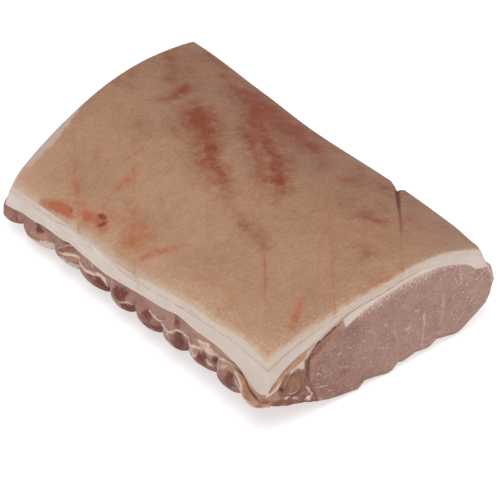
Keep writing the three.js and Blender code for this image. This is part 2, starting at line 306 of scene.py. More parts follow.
def rounding(insets, radius):
    """How far each coordinate moves in from its face so that edges and corners are rounded: within the
    radius of several faces, a point is pulled onto a ball about the nearest point that far inside them."""
    short = np.maximum(radius - np.stack(np.broadcast_arrays(*insets)), 0)
    length = np.sqrt((short**2).sum(0))
    return short * (1 - radius / np.maximum(length, radius))


def brushed(strokes, a, b, widen=1.0):
    """Brush strokes over points (a, b). A stroke runs through stations of place, radius and strength; it is
    full along its middle and fades to nothing at its radius, and the strongest stroke counts."""
    total = np.zeros(np.broadcast(a, b).shape)
    for stroke in strokes:
        for (a0, b0, r0, s0), (a1, b1, r1, s1) in zip(stroke, stroke[1:]):
            run_a, run_b = a1 - a0, b1 - b0
            along = unit(((a - a0) * run_a + (b - b0) * run_b) / (run_a**2 + run_b**2 + 1e-9))
            away = np.hypot(a - a0 - run_a * along, b - b0 - run_b * along)
            fade = 1 - smooth(0.2, 1, away / mix(r0, r1, along) / widen)
            total = np.maximum(total, mix(s0, s1, along) * fade)
    return total


# ---- Mesh and node helpers --------------------------------------------------------------------------


def grid_line(*stretches):
    """Cell edges from 0 to 1 along stretches, each of its own length and cell size in millimetres."""
    edges = np.zeros(1)
    for length, cell in stretches:
        count = max(1, round(length / cell))
        edges = np.append(edges, edges[-1] + length * np.arange(1, count + 1) / count)
    return edges / edges[-1]


def lattice_skin(u_line, v_line, w_line, strip=1):
    """The outer faces of a box of cells between the lines' edges, outward: u, v and w of its points and
    arrays of faces. On the underside each run of strip cells along u is one face; its outer rows keep every
    point."""
    nu, nv, nw = len(u_line) - 1, len(v_line) - 1, len(w_line) - 1

    def code(i, j, k):
        """The number of a lattice point."""
        return (i * (nv + 1) + j) * (nw + 1) + k

    def side(n, m, place, flip):
        """The n by m faces of one side, whose corners place puts in the lattice."""
        a, b = np.meshgrid(np.arange(n), np.arange(m), indexing="ij")
        corners = ((a, b), (a + 1, b), (a + 1, b + 1), (a, b + 1))
        quads = np.stack([code(*place(*corner)) for corner in corners], -1).reshape(-1, 4)
        return quads[:, ::-1] if flip else quads

    quads = [
        side(nv, nw, lambda a, b: (nu, a, b), False),
        side(nv, nw, lambda a, b: (0 * a, a, b), True),
        side(nw, nu, lambda a, b: (b, nv, a), False),
        side(nw, nu, lambda a, b: (b, 0, a), True),
        side(nu, nv, lambda a, b: (a, b, nw), False),
    ]
    if strip == 1:
        groups = [np.concatenate([*quads, side(nu, nv, lambda a, b: (a, b, 0), True)])]
    else:
        quads.append(side(nu // strip, nv - 2, lambda a, b: (a * strip, b + 1, 0), True))
        start, run = np.arange(0, nu, strip)[:, None], np.arange(strip + 1)
        rib_row = np.hstack([code(start + run, 0, 0), code(start + run[[-1, 0]], 1, 0)])
        back_row = np.hstack([code(start + run[[0, -1]], nv - 1, 0), code(start + run[::-1], nv, 0)])
        groups = [np.concatenate(quads), np.concatenate([rib_row, back_row])[:, ::-1]]
    points, faces = np.unique(np.concatenate([g.ravel() for g in groups]), return_inverse=True)
    ends = np.cumsum([g.size for g in groups])
    groups = [f.reshape(g.shape) for f, g in zip(np.split(faces, ends[:-1]), groups)]
    u, v = u_line[points // ((nv + 1) * (nw + 1))], v_line[points // (nw + 1) % (nv + 1)]
    return u, v, w_line[points % (nw + 1)], groups


def make_piece(name, points, groups, node, materials, fields, wall=None):
    """A closed smooth mesh in the frame's metres, with its fields as attributes. It rides on the root and
    stands for a solid; where wall is 1, a face takes the second material."""
    mesh = bpy.data.meshes.new(name)
    mesh.vertices.add(len(points))
    mesh.vertices.foreach_set("co", ((points + SHIFT) / 1000).astype(np.float32).ravel())
    corners = np.concatenate([g.ravel() for g in groups]).astype(np.int32)
    sides = np.concatenate([np.full(len(g), g.shape[1]) for g in groups])
    mesh.loops.add(len(corners))
    mesh.loops.foreach_set("vertex_index", corners)
    mesh.polygons.add(len(sides))
    mesh.polygons.foreach_set("loop_start", (np.cumsum(sides) - sides).astype(np.int32))
    for material in materials:
        mesh.materials.append(material)
    if wall is not None:
        on_wall = np.concatenate([wall[g].mean(1) > 0.5 for g in groups])
        mesh.polygons.foreach_set("material_index", on_wall.astype(np.int32))
    mesh.polygons.foreach_set("use_smooth", np.ones(len(sides), bool))
    mesh.update(calc_edges=True)
    mesh.set_sharp_from_angle(angle=math.radians(SHARP_ANGLE))
    for field, values in fields.items():
        attribute = mesh.attributes.new(field, "FLOAT", "POINT")
        attribute.data.foreach_set("value", np.asarray(values, np.float32))
    if mesh.validate():
        raise RuntimeError(f"{name} has faulty faces")
    piece = bpy.data.objects.new(name, mesh)
    bpy.context.scene.collection.objects.link(piece)
    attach(piece, "root")
    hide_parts(node)
    return piece


def linear(code):
    """An sRGB hex colour as the linear numbers that shaders take."""
    srgb = [int(code.lstrip("#")[i : i + 2], 16) / 255 for i in (0, 2, 4)]
    return (*[c / 12.92 if c <= 0.04045 else ((c + 0.055) / 1.055) ** 2.4 for c in srgb], 1.0)


def add(tree, kind, inputs=(), out=0, **settings):
    """Adds a node with its settings, links or fills its inputs, and returns one of its outputs. The inputs
    come in the node's own order, or by number or name: a Map Range takes a value, the low and the high end
    that it runs between, and what they turn into, 0 and 1 unless said; a colour Mix takes 0, 6 and 7."""
    node = tree.nodes.new("ShaderNode" + kind)
    for name, value in settings.items():
        setattr(node, name, value)
    for key, value in inputs.items() if isinstance(inputs, dict) else enumerate(inputs):
        if isinstance(value, bpy.types.NodeSocket):
            tree.links.new(value, node.inputs[key])
        else:
            node.inputs[key].default_value = value
    return node.outputs[out]


def at(axis, place):
    """A place on the joint along x, 0, or y, 1, as an Object coordinate: shifted to the frame, in metres."""
    return (place + SHIFT[axis]) / 1000


def new_material(name):
    """An empty node material, and its Object coordinates."""
    material = bpy.data.materials.new(name)
    material.use_nodes = True
    material.node_tree.nodes.clear()
    return material, material.node_tree, add(material.node_tree, "TexCoord", out="Object")


def finish_material(tree, surface, relief=None, strength=0.3, distance=0.0006):
    """Ends a material: its relief, if it has one, as bump, and its surface's own inputs."""
    if relief is not None:
        bump = add(tree, "Bump", {"Height": relief, "Strength": strength, "Distance": distance})
        surface = {**surface, "Normal": bump}
    output = tree.nodes.new("ShaderNodeOutputMaterial")
    tree.links.new(add(tree, "BsdfPrincipled", surface), output.inputs["Surface"])


def wavered(tree, value, *waves):
    """A value plus what noises and other values add to it: a wave is such a value, the low and the high end
    that it runs between, and what it adds at each of them."""
    for wave in waves:
        value = add(tree, "Math", (add(tree, "MapRange", wave), value))
    return value


def broken_marks(tree, colour, *marks):
    """A colour under marks that are broken up: a mark is its field on the mesh, its tint, and the noise that
    the field is multiplied by, with its ends as a wave has them."""
    for field, tint, *wave in marks:
        mark = add(tree, "Attribute", attribute_name=field, out="Fac")
        mask = add(tree, "Math", (mark, add(tree, "MapRange", wave)), operation="MULTIPLY", use_clamp=True)
        colour = add(tree, "Mix", {0: mask, 6: colour, 7: tint}, out=2, data_type="RGBA")
    return colour


def worn_marks(tree, colour, wear, grip, low, high, *marks):
    """A colour under marks with worn edges. Wear is noise, and is added to a mark as far as there is any of
    it, times grip; the mark then shows from nothing at low to its share at high."""
    for field, tint, share in marks:
        mark = add(tree, "Attribute", attribute_name=field, out="Fac")
        held = add(tree, "Math", (mark, grip), operation="MULTIPLY", use_clamp=True)
        worn = add(tree, "Math", (mark, add(tree, "Math", (wear, held), operation="MULTIPLY")))
        mask = add(tree, "MapRange", (worn, low, high, 0, share))
        colour = add(tree, "Mix", {0: mask, 6: colour, 7: tint}, out=2, data_type="RGBA")
    return colour


# ---- Marks on the joint, in its own millimetres ------------------------------------------------------

# Scores across the rind, each through stations of x, y and how open it is.
SCORES = [
    [(-106, -32, 0.4), (-79, -49, 0.5), (-54, -65, 0.8), (-24, -85, 1.0)],
    [(-104, 10, 0.3), (-58, -22, 0.5), (-35, -38, 0.8), (3, -67, 0.7), (31, -87, 1.0)],
    [(-115, 77, 0.3), (-56, 30, 0.5), (3, -16, 0.4), (43, -47, 0.3)],
    [(-32, 49, 0.6), (24, 4, 0.5), (54, -18, 0.5), (75, -34, 0.6), (82, -39, 1.6), (96, -50, 1.6),
     (103, -56, 0.6), (114, -65, 0.3)],
    [(7, 65, 0.6), (54, 27, 0.6), (86, 2, 0.9), (107, -14, 0.9), (131, -34, 1.0), (139, -40, 1.0)],
    [(70, 67, 1.6), (92, 47, 1.2), (107, 34, 0.7), (127, 16, 0.7), (139, 6, 0.9)],
]
# Strokes of a mark run through stations: two coordinates, the radius and the strength. Blood drawn into
# the rind, by x and y.
BLOOD = [
    [(-62, 28, 8, 0.6), (-55, 23, 10, 1.1), (-46, 18, 10, 1.2), (-36, 15, 8, 0.95), (-26, 9, 7, 0.8),
     (-17, 2, 7, 0.82), (-8, -4, 6, 0.75), (2, -6, 6, 0.72), (11, -11, 5, 0.7)],
    [(-56, 18, 12, 0.5), (-46, 10, 12, 0.65), (-34, 9, 10, 0.6), (-24, 2, 9, 0.5), (-10, -8, 9, 0.5),
     (8, -12, 9, 0.4)],
    [(10, -12, 6, 0.4), (26, -18, 6, 0.3), (38, -23, 5, 0.3), (50, -27, 5, 0.5), (60, -29, 5, 0.4),
     (73, -31, 4, 0.35)],
    [(-69, 24, 4, 0.3), (-65, 23, 3.5, 0.45)],
    [(-87, 39, 3.5, 0.6), (-84, 34, 4, 1), (-81, 30, 3.6, 0.85), (-80, 24, 3.6, 0.65), (-79, 18, 3.8, 0.55),
     (-82, 13, 4, 0.35)],
    [(-128, 54, 5, 0.3), (-119, 51, 5, 0.5), (-113, 47, 4.5, 0.4), (-104, 42, 6, 0.25), (-97, 34, 6, 0.5),
     (-94, 31, 5, 0.3)],
    [(-110, 56, 6, 0.2), (-103, 55, 6, 0.3)],
    [(-118, 19, 5, 0.25), (-112, 15, 6, 0.3), (-116, 8, 5, 0.4), (-103, 10, 6, 0.25)],
    [(-121, 81, 5, 0.4), (-114, 79, 6, 0.55), (-105, 77, 5, 0.4), (-96, 75, 6, 0.4), (-88, 70, 7, 0.55),
     (-83, 67, 5, 0.3)],
    [(-73, 65, 8, 0.65), (-62, 67, 13, 0.8), (-45, 65, 15, 0.88), (-28, 62, 16, 0.95), (-10, 58, 15, 0.9),
     (6, 55, 12, 0.6)],
    [(-68, 64, 6, 0.8), (-60, 60, 6, 0.8), (-54, 58, 6, 0.7)],
    [(-50, 60, 8, 0.6), (-42, 57, 9, 1.1), (-37, 52, 8, 1.05), (-30, 45, 8, 0.9), (-22, 42, 8, 0.9),
     (-19, 35, 8, 0.8)],
    [(-33, 66, 9, 0.8), (-24, 61, 10, 0.85), (-18, 55, 8, 0.6), (-14, 44, 8, 0.6), (-12, 36, 8, 0.8)],
    [(-28, 34, 5, 0.6), (-20, 31, 6, 0.7), (-12, 30, 6, 0.7), (-5, 23, 6, 0.6)],
    [(-10, 37, 6, 0.85), (0, 33, 8, 0.8), (10, 28, 8, 0.78), (19, 21, 7.5, 0.88), (28, 13, 7, 0.82),
     (37, 8, 6.5, 0.8), (43, 3, 5, 0.5), (46, -4, 4, 0.3)],
    [(0, 22, 7, 0.6), (12, 14, 7, 0.6), (24, 9, 6, 0.6), (32, 4, 5, 0.45)],
    [(-14, 56, 8, 0.5), (0, 58, 8, 0.7), (8, 57, 7, 0.9), (14, 54, 5, 0.6)],
    [(10, 50, 4, 0.5), (12, 40, 4, 0.4)],
    [(19, 56, 4, 0.4), (28, 47, 4.5, 0.45)],
    [(38, 66, 6, 0.3), (44, 62, 5, 0.45), (50, 56, 5.5, 0.8), (50, 48, 5, 0.7), (51, 44, 3.5, 0.4)],
    [(54, 62, 5, 0.4), (56, 52, 6, 0.4), (60, 45, 4, 0.3)],
    [(60, 62, 5, 0.4), (65, 61, 4.5, 0.7), (66, 55, 4, 0.4), (74, 57, 3.5, 0.4)],
    [(81, 43, 4, 0.3), (86, 41, 4, 0.35)],
    [(80, 31, 5, 0.4), (88, 28, 6, 0.6), (95, 29, 4.5, 0.6)],
    [(82, 24, 4, 0.3), (87, 15, 3.5, 0.2)],
    [(99, 48, 5, 0.3), (104, 45, 4, 0.35), (110, 45, 4, 0.3)],
    [(108, 5, 5, 0.25), (115, 3, 5, 0.3)],
    [(70, 38, 8, 0.2), (72, 24, 9, 0.15)],
    [(-66, -10, 9, 0.2), (-59, -13, 7, 0.2)],
]
# Warm tan patches where the rind was scorched or dried, and a few small dark scabs in them.
SCORCHED = [
    [(-64, -82.6, 3, 0.5), (-56.4, -81.2, 4.2, 0.85), (-48.6, -80.2, 4.4, 1.1), (-41, -79.8, 4, 1.1),
     (-34.6, -79.6, 2.8, 0.6)],
    [(-34, -75.5, 4.5, 0.5), (-28, -75, 6, 0.95), (-22, -73, 6.5, 1), (-17, -74, 6.5, 1),
     (-12, -76, 5, 0.7)],
    [(-26, -66, 5, 0.3), (-16, -68, 6, 0.4), (-8, -65, 5, 0.35)],
    [(118, -44, 2.4, 0.35), (122.5, -50, 3.2, 0.7), (126, -54.5, 3.4, 0.8), (129, -58.5, 3.4, 0.7),
     (131.5, -62, 2.8, 0.5)],
    [(-47, -22, 3, 0.5), (-47, -33, 3, 0.5)],
    [(-38, -36, 4, 0.3), (-33, -41, 5, 0.5), (-31, -48, 5, 0.65), (-30, -53, 4, 0.5)],
    [(0, -65, 6, 0.5), (7, -64, 6, 0.7), (14, -65, 5, 0.4)],
    [(2, -70, 8, 0.45), (9, -72, 8, 0.65), (17, -72, 7, 0.6)],
    [(22, -79, 4, 0.6), (25, -72, 4.6, 0.65), (29, -65, 4.6, 0.6), (33, -61, 4, 0.45), (37, -56, 3, 0.3)],
    [(-66, -41, 4, 0.25), (-63, -45, 4, 0.2)],
    [(-64, -62, 3, 0.3), (-50, -67, 3, 0.5), (-44, -71, 4, 0.35), (-37, -74, 5, 0.5)],
    [(-14, -57, 5, 0.3), (-4, -60, 4, 0.3), (6, -64, 3, 0.3)],
    [(-60, -74, 10, 0.1), (-30, -72, 12, 0.15), (0, -68, 14, 0.15), (26, -70, 10, 0.1)],
    [(60, -68, 6, 0.15), (84, -66, 8, 0.18), (96, -74, 6, 0.12)],
    [(134, -20, 6, 0.2), (135, -2, 6, 0.25), (136, 10, 5, 0.2)],
    [(-124, 58, 18, 0.19), (-104, 62, 20, 0.22), (-80, 66, 16, 0.16)],
    [(20, -8, 26, 0.1), (60, 10, 32, 0.14), (100, 24, 30, 0.15), (120, 40, 20, 0.15)],
]
SCABS = [
    [(-21.8, -71.1, 2.3, 1.2), (-19.2, -71, 2.2, 1.2)],
    [(-16.2, -75, 2.3, 1.2), (-15.8, -73.6, 2.2, 1.2)],
    [(-40.4, -78.7, 0.8, 0.8), (-39.2, -78.7, 0.8, 0.8)],
]
# The bare facet where the skin was cut off at a slant at the far end, near the rib side: y and width.
FACET = [
    [-84, 0], [-76, 0.6], [-70, 4.6], [-62, 5.3], [-56, 6.8], [-50, 6.4], [-44, 5.4], [-36, 4], [-29, 2.2],
    [-22, 0], [-10, 0],
]
# How deep the skin shows as a band under the rind: along the rib side, across the cut end, at the back.
SKIN_RIB = [
    [-98, 6], [-59, 5.5], [-38, 3.4], [-18, 2.2], [-4, 2.6], [10, 4], [48, 6], [80, 6.6], [94, 5.6],
    [106, 5.8], [118, 7.6], [138.5, 7],
]
SKIN_CUT = [
    [-84, 7.4], [-78, 6.6], [-70, 5.3], [-60, 4.5], [-45, 3.9], [-25, 3.4], [0, 3.5], [30, 4], [70, 3.5],
]
SKIN_BACK = 4.5
# How deep the tan line in the fat runs across the cut end.
FAT_LINE = [[-42, 9.2], [-35, 7.6], [-28, 6.6], [-10, 6.2], [20, 5.9], [30, 6.2], [45, 6.5], [56, 8]]
# Tan stains in the fat: on the cut end by y and z, and as flecks on the rib side by x and z.
STAINS = [
    [(-57, 46, 1.5, 0.4), (-50, 48.5, 2.2, 0.55), (-43, 51.5, 2.2, 0.8), (-36, 54, 1.8, 0.9),
     (-28, 56.2, 1.2, 0.8), (-20, 57.6, 0.9, 0.5)],
    [(-84, 46, 1, 0.5), (-79, 47, 1.4, 0.6), (-74, 49.8, 1.4, 0.6), (-66, 52.2, 1.1, 0.6),
     (-59, 53.8, 1, 0.5), (-52, 54.9, 0.9, 0.3)],
]
FLECKS = [
    [(-59, 39, 1.1, 0.9), (-56.5, 40, 1.1, 0.6)],
    [(-23, 38, 1, 0.6), (-22, 36.3, 0.9, 0.5)],
    [(-16, 36.6, 1.4, 0.8), (-15.4, 33.6, 1.1, 0.6)],
    [(65, 43, 1.6, 0.7), (70, 44.6, 1.3, 0.4)],
    [(29, 45, 1, 0.6), (28.8, 40, 1.1, 0.5), (29.4, 32.5, 1, 0.45)],
    [(-56, 30, 0.8, 0.3), (-55.5, 27, 0.8, 0.3)],
    [(-84, 29, 0.8, 0.25), (-83, 23, 1, 0.4)],
]
# On the rib side, by x and z: dark cores of the rib fingers, pale membranes between them, lumps of soft
# fat below, lean that has dried tan, and lines of painted shade that end in the gap behind the flap.
RIB_CORES = [
    [(-92, 20, 5, 0.5), (-90, 15, 5, 0.6)],
    [(-67, 23, 5.5, 0.7), (-65, 20, 5.5, 0.9)],
    [(-44, 24.5, 3, 0.5), (-37, 27, 4.2, 0.9), (-32, 26, 3.5, 0.4)],
    [(-42, 20, 3, 0.5), (-37, 22, 3.5, 0.7)],
    [(-14, 17.5, 3.5, 0.7), (-7, 19.5, 4, 0.8), (-2, 18, 3.5, 0.9)],
    [(-10, 15, 3.2, 0.9), (-2, 15.8, 3.2, 1), (3.5, 17.6, 2.6, 0.9)],
    [(11, 21, 5.5, 0.8), (16, 22.4, 5.5, 1), (18, 25, 4.5, 0.7)],
    [(17, 15.5, 4, 0.9), (21, 16.5, 4, 1), (26, 18, 3, 1)],
    [(38, 21.6, 4.5, 0.8), (41, 24, 5, 1)],
    [(37, 15.8, 3.4, 0.7), (45, 17, 3.4, 0.9), (49.5, 18.8, 2.6, 1)],
    [(63, 34, 4, 0.8), (66, 31, 4, 0.7)],
    [(66, 18, 6, 0.9), (68, 22, 6, 0.9), (68, 27, 5, 1)],
    [(87, 21.5, 5, 0.9), (88, 24, 5.5, 1), (90.5, 27, 4, 0.7)],
    [(96.5, 29, 2.4, 0.7), (96.8, 26, 2.4, 0.7)],
    [(102, 22, 6, 0.4), (108, 20, 6, 0.5), (111, 22, 5, 0.9), (111.5, 27, 5, 1)],
    [(116.5, 26.5, 3, 0.5), (117.5, 23.5, 3, 0.5)],
]
MEMBRANES = [
    [(-43, 18, 1.4, 0.5), (-38, 19.8, 1.5, 0.8), (-32, 21.6, 1.5, 0.8), (-28, 22.4, 1.5, 0.8),
     (-24.5, 20.6, 1.5, 0.8), (-18, 20, 1.4, 0.7), (-11, 20.8, 1.5, 0.8), (-5, 22.8, 2, 0.9),
     (-1, 22, 2, 0.9), (1, 18.6, 1.5, 0.8)],
    [(-44, 20, 1.2, 0.3), (-38, 24.4, 1.2, 0.5), (-31, 28, 1.2, 0.5)],
    [(4.5, 28.4, 1.6, 0.6), (5, 24, 1.4, 0.6), (4.5, 21, 1.2, 0.3)],
    [(16, 18, 1.1, 0.5), (15, 13.6, 1.1, 0.5)],
    [(17, 18, 1.3, 0.4), (22, 20.6, 1.3, 0.5), (25, 20, 1.2, 0.3)],
    [(41, 26.6, 1.3, 0.5), (45, 26.2, 1.5, 0.7), (49, 24.4, 1.8, 0.8), (54, 25.2, 1.5, 0.8),
     (58, 24.4, 1.8, 0.8), (62.5, 25.4, 1.5, 0.7), (66, 29, 1.3, 0.8), (70, 29.4, 1.4, 0.8),
     (74, 28, 1.4, 0.7), (74.5, 24, 1.2, 0.5)],
    [(50, 24, 1.4, 0.6), (51, 20.5, 1.3, 0.5)],
    [(52, 17.6, 2.2, 0.4), (58, 16.6, 2.2, 0.4), (63, 17.4, 1.8, 0.3)],
    [(59, 22.4, 1.8, 0.6), (60.5, 20.6, 1.6, 0.5)],
    [(75, 28, 1.7, 0.7), (79.5, 26.8, 1.7, 0.8), (83, 28.4, 1.6, 0.8), (88, 29.8, 1.5, 0.7)],
    [(75.5, 26, 1.5, 0.6), (77.5, 22.5, 1.6, 0.7), (81, 21, 1.5, 0.6), (83.5, 23.6, 1.6, 0.8),
     (80.8, 25.2, 1.3, 0.6)],
    [(80, 31, 1.2, 0.5), (86, 32.6, 1.3, 0.6), (93, 34.4, 1.3, 0.5)],
    [(98, 25, 1.2, 0.4), (101, 19, 1.2, 0.3), (106, 16.6, 1.2, 0.4), (112, 17, 1.2, 0.4)],
    [(99.5, 31, 1.5, 0.6), (105, 32.4, 1.5, 0.7), (112, 33, 1.4, 0.6), (117, 32.4, 1.3, 0.5)],
    [(114, 30.6, 1.2, 0.5), (115, 25, 1.2, 0.5), (117.5, 20.6, 1.2, 0.5)],
    [(54, 34.8, 1, 0.5), (56, 35, 1, 0.5)],
    [(59, 35.2, 1.2, 0.6), (61, 34, 1, 0.4)],
    [(37, 34, 0.9, 0.4), (43, 34.4, 0.9, 0.4)],
    [(-25.6, 24, 1, 0.3), (-26, 20, 1, 0.3)],
    [(92, 26, 1.2, 0.3), (96.5, 21.4, 1.4, 0.4)],
]
RIB_FAT = [
    [(-76, 10, 3, 0.6), (-68, 10.4, 4.5, 0.9), (-61, 12.6, 4.8, 1), (-55, 15, 4, 0.9), (-50, 17, 2.6, 0.7)],
    [(-49, 15, 2.6, 0.6), (-43, 13.6, 3.4, 0.8), (-36, 14.6, 3.4, 0.8), (-29, 15.6, 2.8, 0.7),
     (-25, 15.4, 2.4, 0.4)],
    [(-22, 25, 3.5, 0.25), (-14, 24.6, 3.5, 0.25)],
    [(86, 31.4, 2.8, 0.4), (92, 31.6, 3.5, 0.65), (97, 31, 3, 0.6)],
    [(77, 24.6, 5, 0.35), (82, 25, 5, 0.4)],
    [(92, 24, 2.5, 0.3), (97, 22, 2.2, 0.4)],
    [(102, 27, 3, 0.35), (106, 30.4, 3, 0.35)],
    [(117, 28.6, 2, 0.4), (119.5, 21.6, 1.6, 0.6)],
]
TANNED_SIDE = [
    [(-97, 20.6, 3, 0.7), (-96, 16, 3, 0.4), (-94, 13, 2.5, 0.3)],
    [(-88, 18, 2.5, 0.3), (-86, 16, 2.5, 0.3)],
    [(-71, 16, 2.6, 0.7), (-64, 17.4, 2.6, 0.8), (-57, 19.4, 2.4, 0.6)],
    [(-40, 16, 2, 0.6), (-34, 17.8, 2.3, 0.9), (-29, 19.6, 2.3, 0.8), (-26, 18.6, 1.8, 0.5)],
    [(-40, 22.4, 2.6, 0.5), (-35, 21.6, 2.4, 0.4)],
    [(-13, 16, 2.2, 0.5), (-9, 19.6, 2.2, 0.4)],
    [(12, 18, 2, 0.4), (13.5, 16, 2, 0.3)],
    [(34, 15, 2.2, 0.5), (36, 17.6, 2, 0.3)],
    [(42, 14.8, 2, 0.4), (46, 15.6, 1.8, 0.3)],
    [(52.5, 22.6, 2.6, 0.7), (55.5, 20, 3, 0.8)],
    [(62, 35, 2, 0.6), (61, 30, 2, 0.6), (62.6, 26, 2, 0.5)],
    [(79, 35, 3.4, 0.6), (84, 34.6, 3.6, 0.7), (88, 36, 3, 0.5)],
    [(97, 36, 3, 0.6), (104, 36.4, 3.2, 0.8), (110, 34.6, 3, 0.7), (115, 34.6, 2.4, 0.6)],
    [(110, 30.6, 2.8, 0.6), (115, 31, 2.6, 0.6), (118, 29, 2, 0.4)],
    [(121.5, 29.8, 2, 1.2), (125, 28.2, 3, 1.4), (130, 26.2, 3.4, 1.4), (138.5, 26, 4, 1.4)],
]
SHADED_SIDE_CREASES = [
    [(102, 33.6, 0.9, 0.4), (108, 34.2, 1, 0.6), (115, 34.8, 1, 0.6), (118, 33.6, 1.1, 0.7)],
    [(110.5, 32.7, 0.9, 0.5), (115.3, 32.5, 1.3, 0.9), (119.2, 31.6, 1.6, 1), (120.8, 29.2, 1.5, 1),
     (122.8, 27.2, 1.4, 1), (125.6, 25.2, 1.2, 0.9), (130, 23.6, 1, 0.7)],
    [(14.5, 21.4, 1.2, 0.4), (16, 20.8, 1.2, 0.4)],
]
# On the cut end, by y and z: tan strips of membrane, wedges of fat, and dried, reddened and darker lean.
CUT_STRIPS = [
    [(-81, 32, 0.9, 0.7), (-76.5, 36, 1.5, 1), (-71, 39.3, 2.1, 1), (-65.5, 42, 2.5, 1),
     (-61, 43.6, 2.5, 1), (-59, 44, 1.8, 0.8)],
]
FAT_WEDGES = [
    [(-83.5, 29.6, 1.4, 0.9), (-79.5, 31, 1.8, 1), (-75.5, 33.6, 1.9, 1), (-72.5, 35.4, 1.3, 0.8)],
    [(-69.5, 37, 1.3, 0.7), (-65, 38.8, 1.8, 0.8), (-61.4, 39.4, 2.2, 0.8), (-60.4, 36.4, 1.6, 0.6)],
    [(-58.4, 42.6, 2, 0.8), (-55, 46.2, 2.6, 1), (-51.4, 49.4, 1.8, 0.7)],
    [(-58.5, 14.6, 1.3, 0.7), (-56.6, 14.6, 2, 0.8), (-55, 12.8, 1.6, 0.8)],
    [(-57.4, 22, 0.8, 0.5), (-54.6, 17, 0.9, 0.5), (-52.4, 12, 0.9, 0.4)],
    [(-73, 22.6, 0.9, 0.42), (-68, 20.8, 0.9, 0.42), (-63, 17.4, 0.9, 0.42)],
    [(-78, 25, 1.4, 0.35), (-74.6, 23.6, 1.6, 0.35)],
]
TANNED_FACE = [
    [(-90, 30.4, 3.5, 1), (-85.5, 27.6, 3.6, 1), (-80, 26.4, 3.6, 1), (-75.4, 27, 2.6, 0.9)],
    [(-61.4, 25.6, 1.6, 0.5), (-59.6, 26.4, 1.6, 0.4)],
    [(-74, 19, 4, 0.3), (-66, 18, 5, 0.4), (-58, 18, 5, 0.35)],
]
RUST_FACE = [
    [(-69.5, 37, 1.4, 0.6), (-72.6, 34.4, 1.8, 0.9), (-74.4, 31, 2.2, 1), (-74.6, 27.4, 2.1, 1),
     (-72.4, 24.8, 1.8, 0.8)],
    [(-57, 29.6, 1.4, 0.7), (-55.6, 25.6, 1.1, 0.6)],
    [(-55.6, 39.6, 2, 0.8), (-50.8, 42, 2.6, 1), (-47, 44.2, 2.6, 1), (-42.6, 46.4, 2.4, 0.9),
     (-37, 49, 1.6, 0.5)],
    [(-55.6, 38, 1.4, 0.5), (-55.8, 31, 1.3, 0.5)],
]
LEAN_DARK = [
    [(-75.5, 21.6, 1.8, 0.8), (-70.5, 19.8, 2.2, 0.9), (-66, 18.2, 1.6, 0.7)],
    [(-68, 20.9, 1.3, 0.8), (-63.5, 22.4, 1.8, 1), (-60.6, 24, 1.6, 0.8)],
    [(-59.6, 33, 1.4, 0.5), (-58.6, 27, 1.6, 0.5), (-59, 22, 2, 0.4)],
]
# Painted shade in the crevice of the seam, and the tan ridge of sheath on the eye muscle beside it.
SEAM_SHADE = [
    [(-34, 53.2, 0.9, 0.3), (-40.5, 51, 1.4, 0.7), (-45, 49.4, 1.6, 0.8), (-49.5, 47.2, 1.7, 0.8),
     (-52.5, 43.6, 1.3, 0.5), (-55.4, 41.2, 1.6, 0.8), (-56.8, 38, 1.8, 1), (-56.8, 32, 1.8, 1),
     (-56.4, 29, 1.3, 0.7), (-55.4, 25.6, 0.9, 0.3)],
    [(-53.8, 44, 0.9, 0.6), (-52.2, 42.6, 0.9, 0.6)],
    [(-74.6, 29.6, 1.1, 0.8), (-72.6, 27.2, 1.1, 0.8)],
]
SHEATH = [
    [(-31.8, 49.2, 1.6, 0.9), (-37.5, 49, 2.2, 1), (-41.4, 45.8, 2.8, 1), (-45.8, 42.8, 3.2, 0.9),
     (-49.4, 40, 3.4, 0.9), (-53, 37.6, 3.3, 0.9), (-54.6, 33, 3.2, 0.8), (-55, 29, 2.6, 0.5)],
]
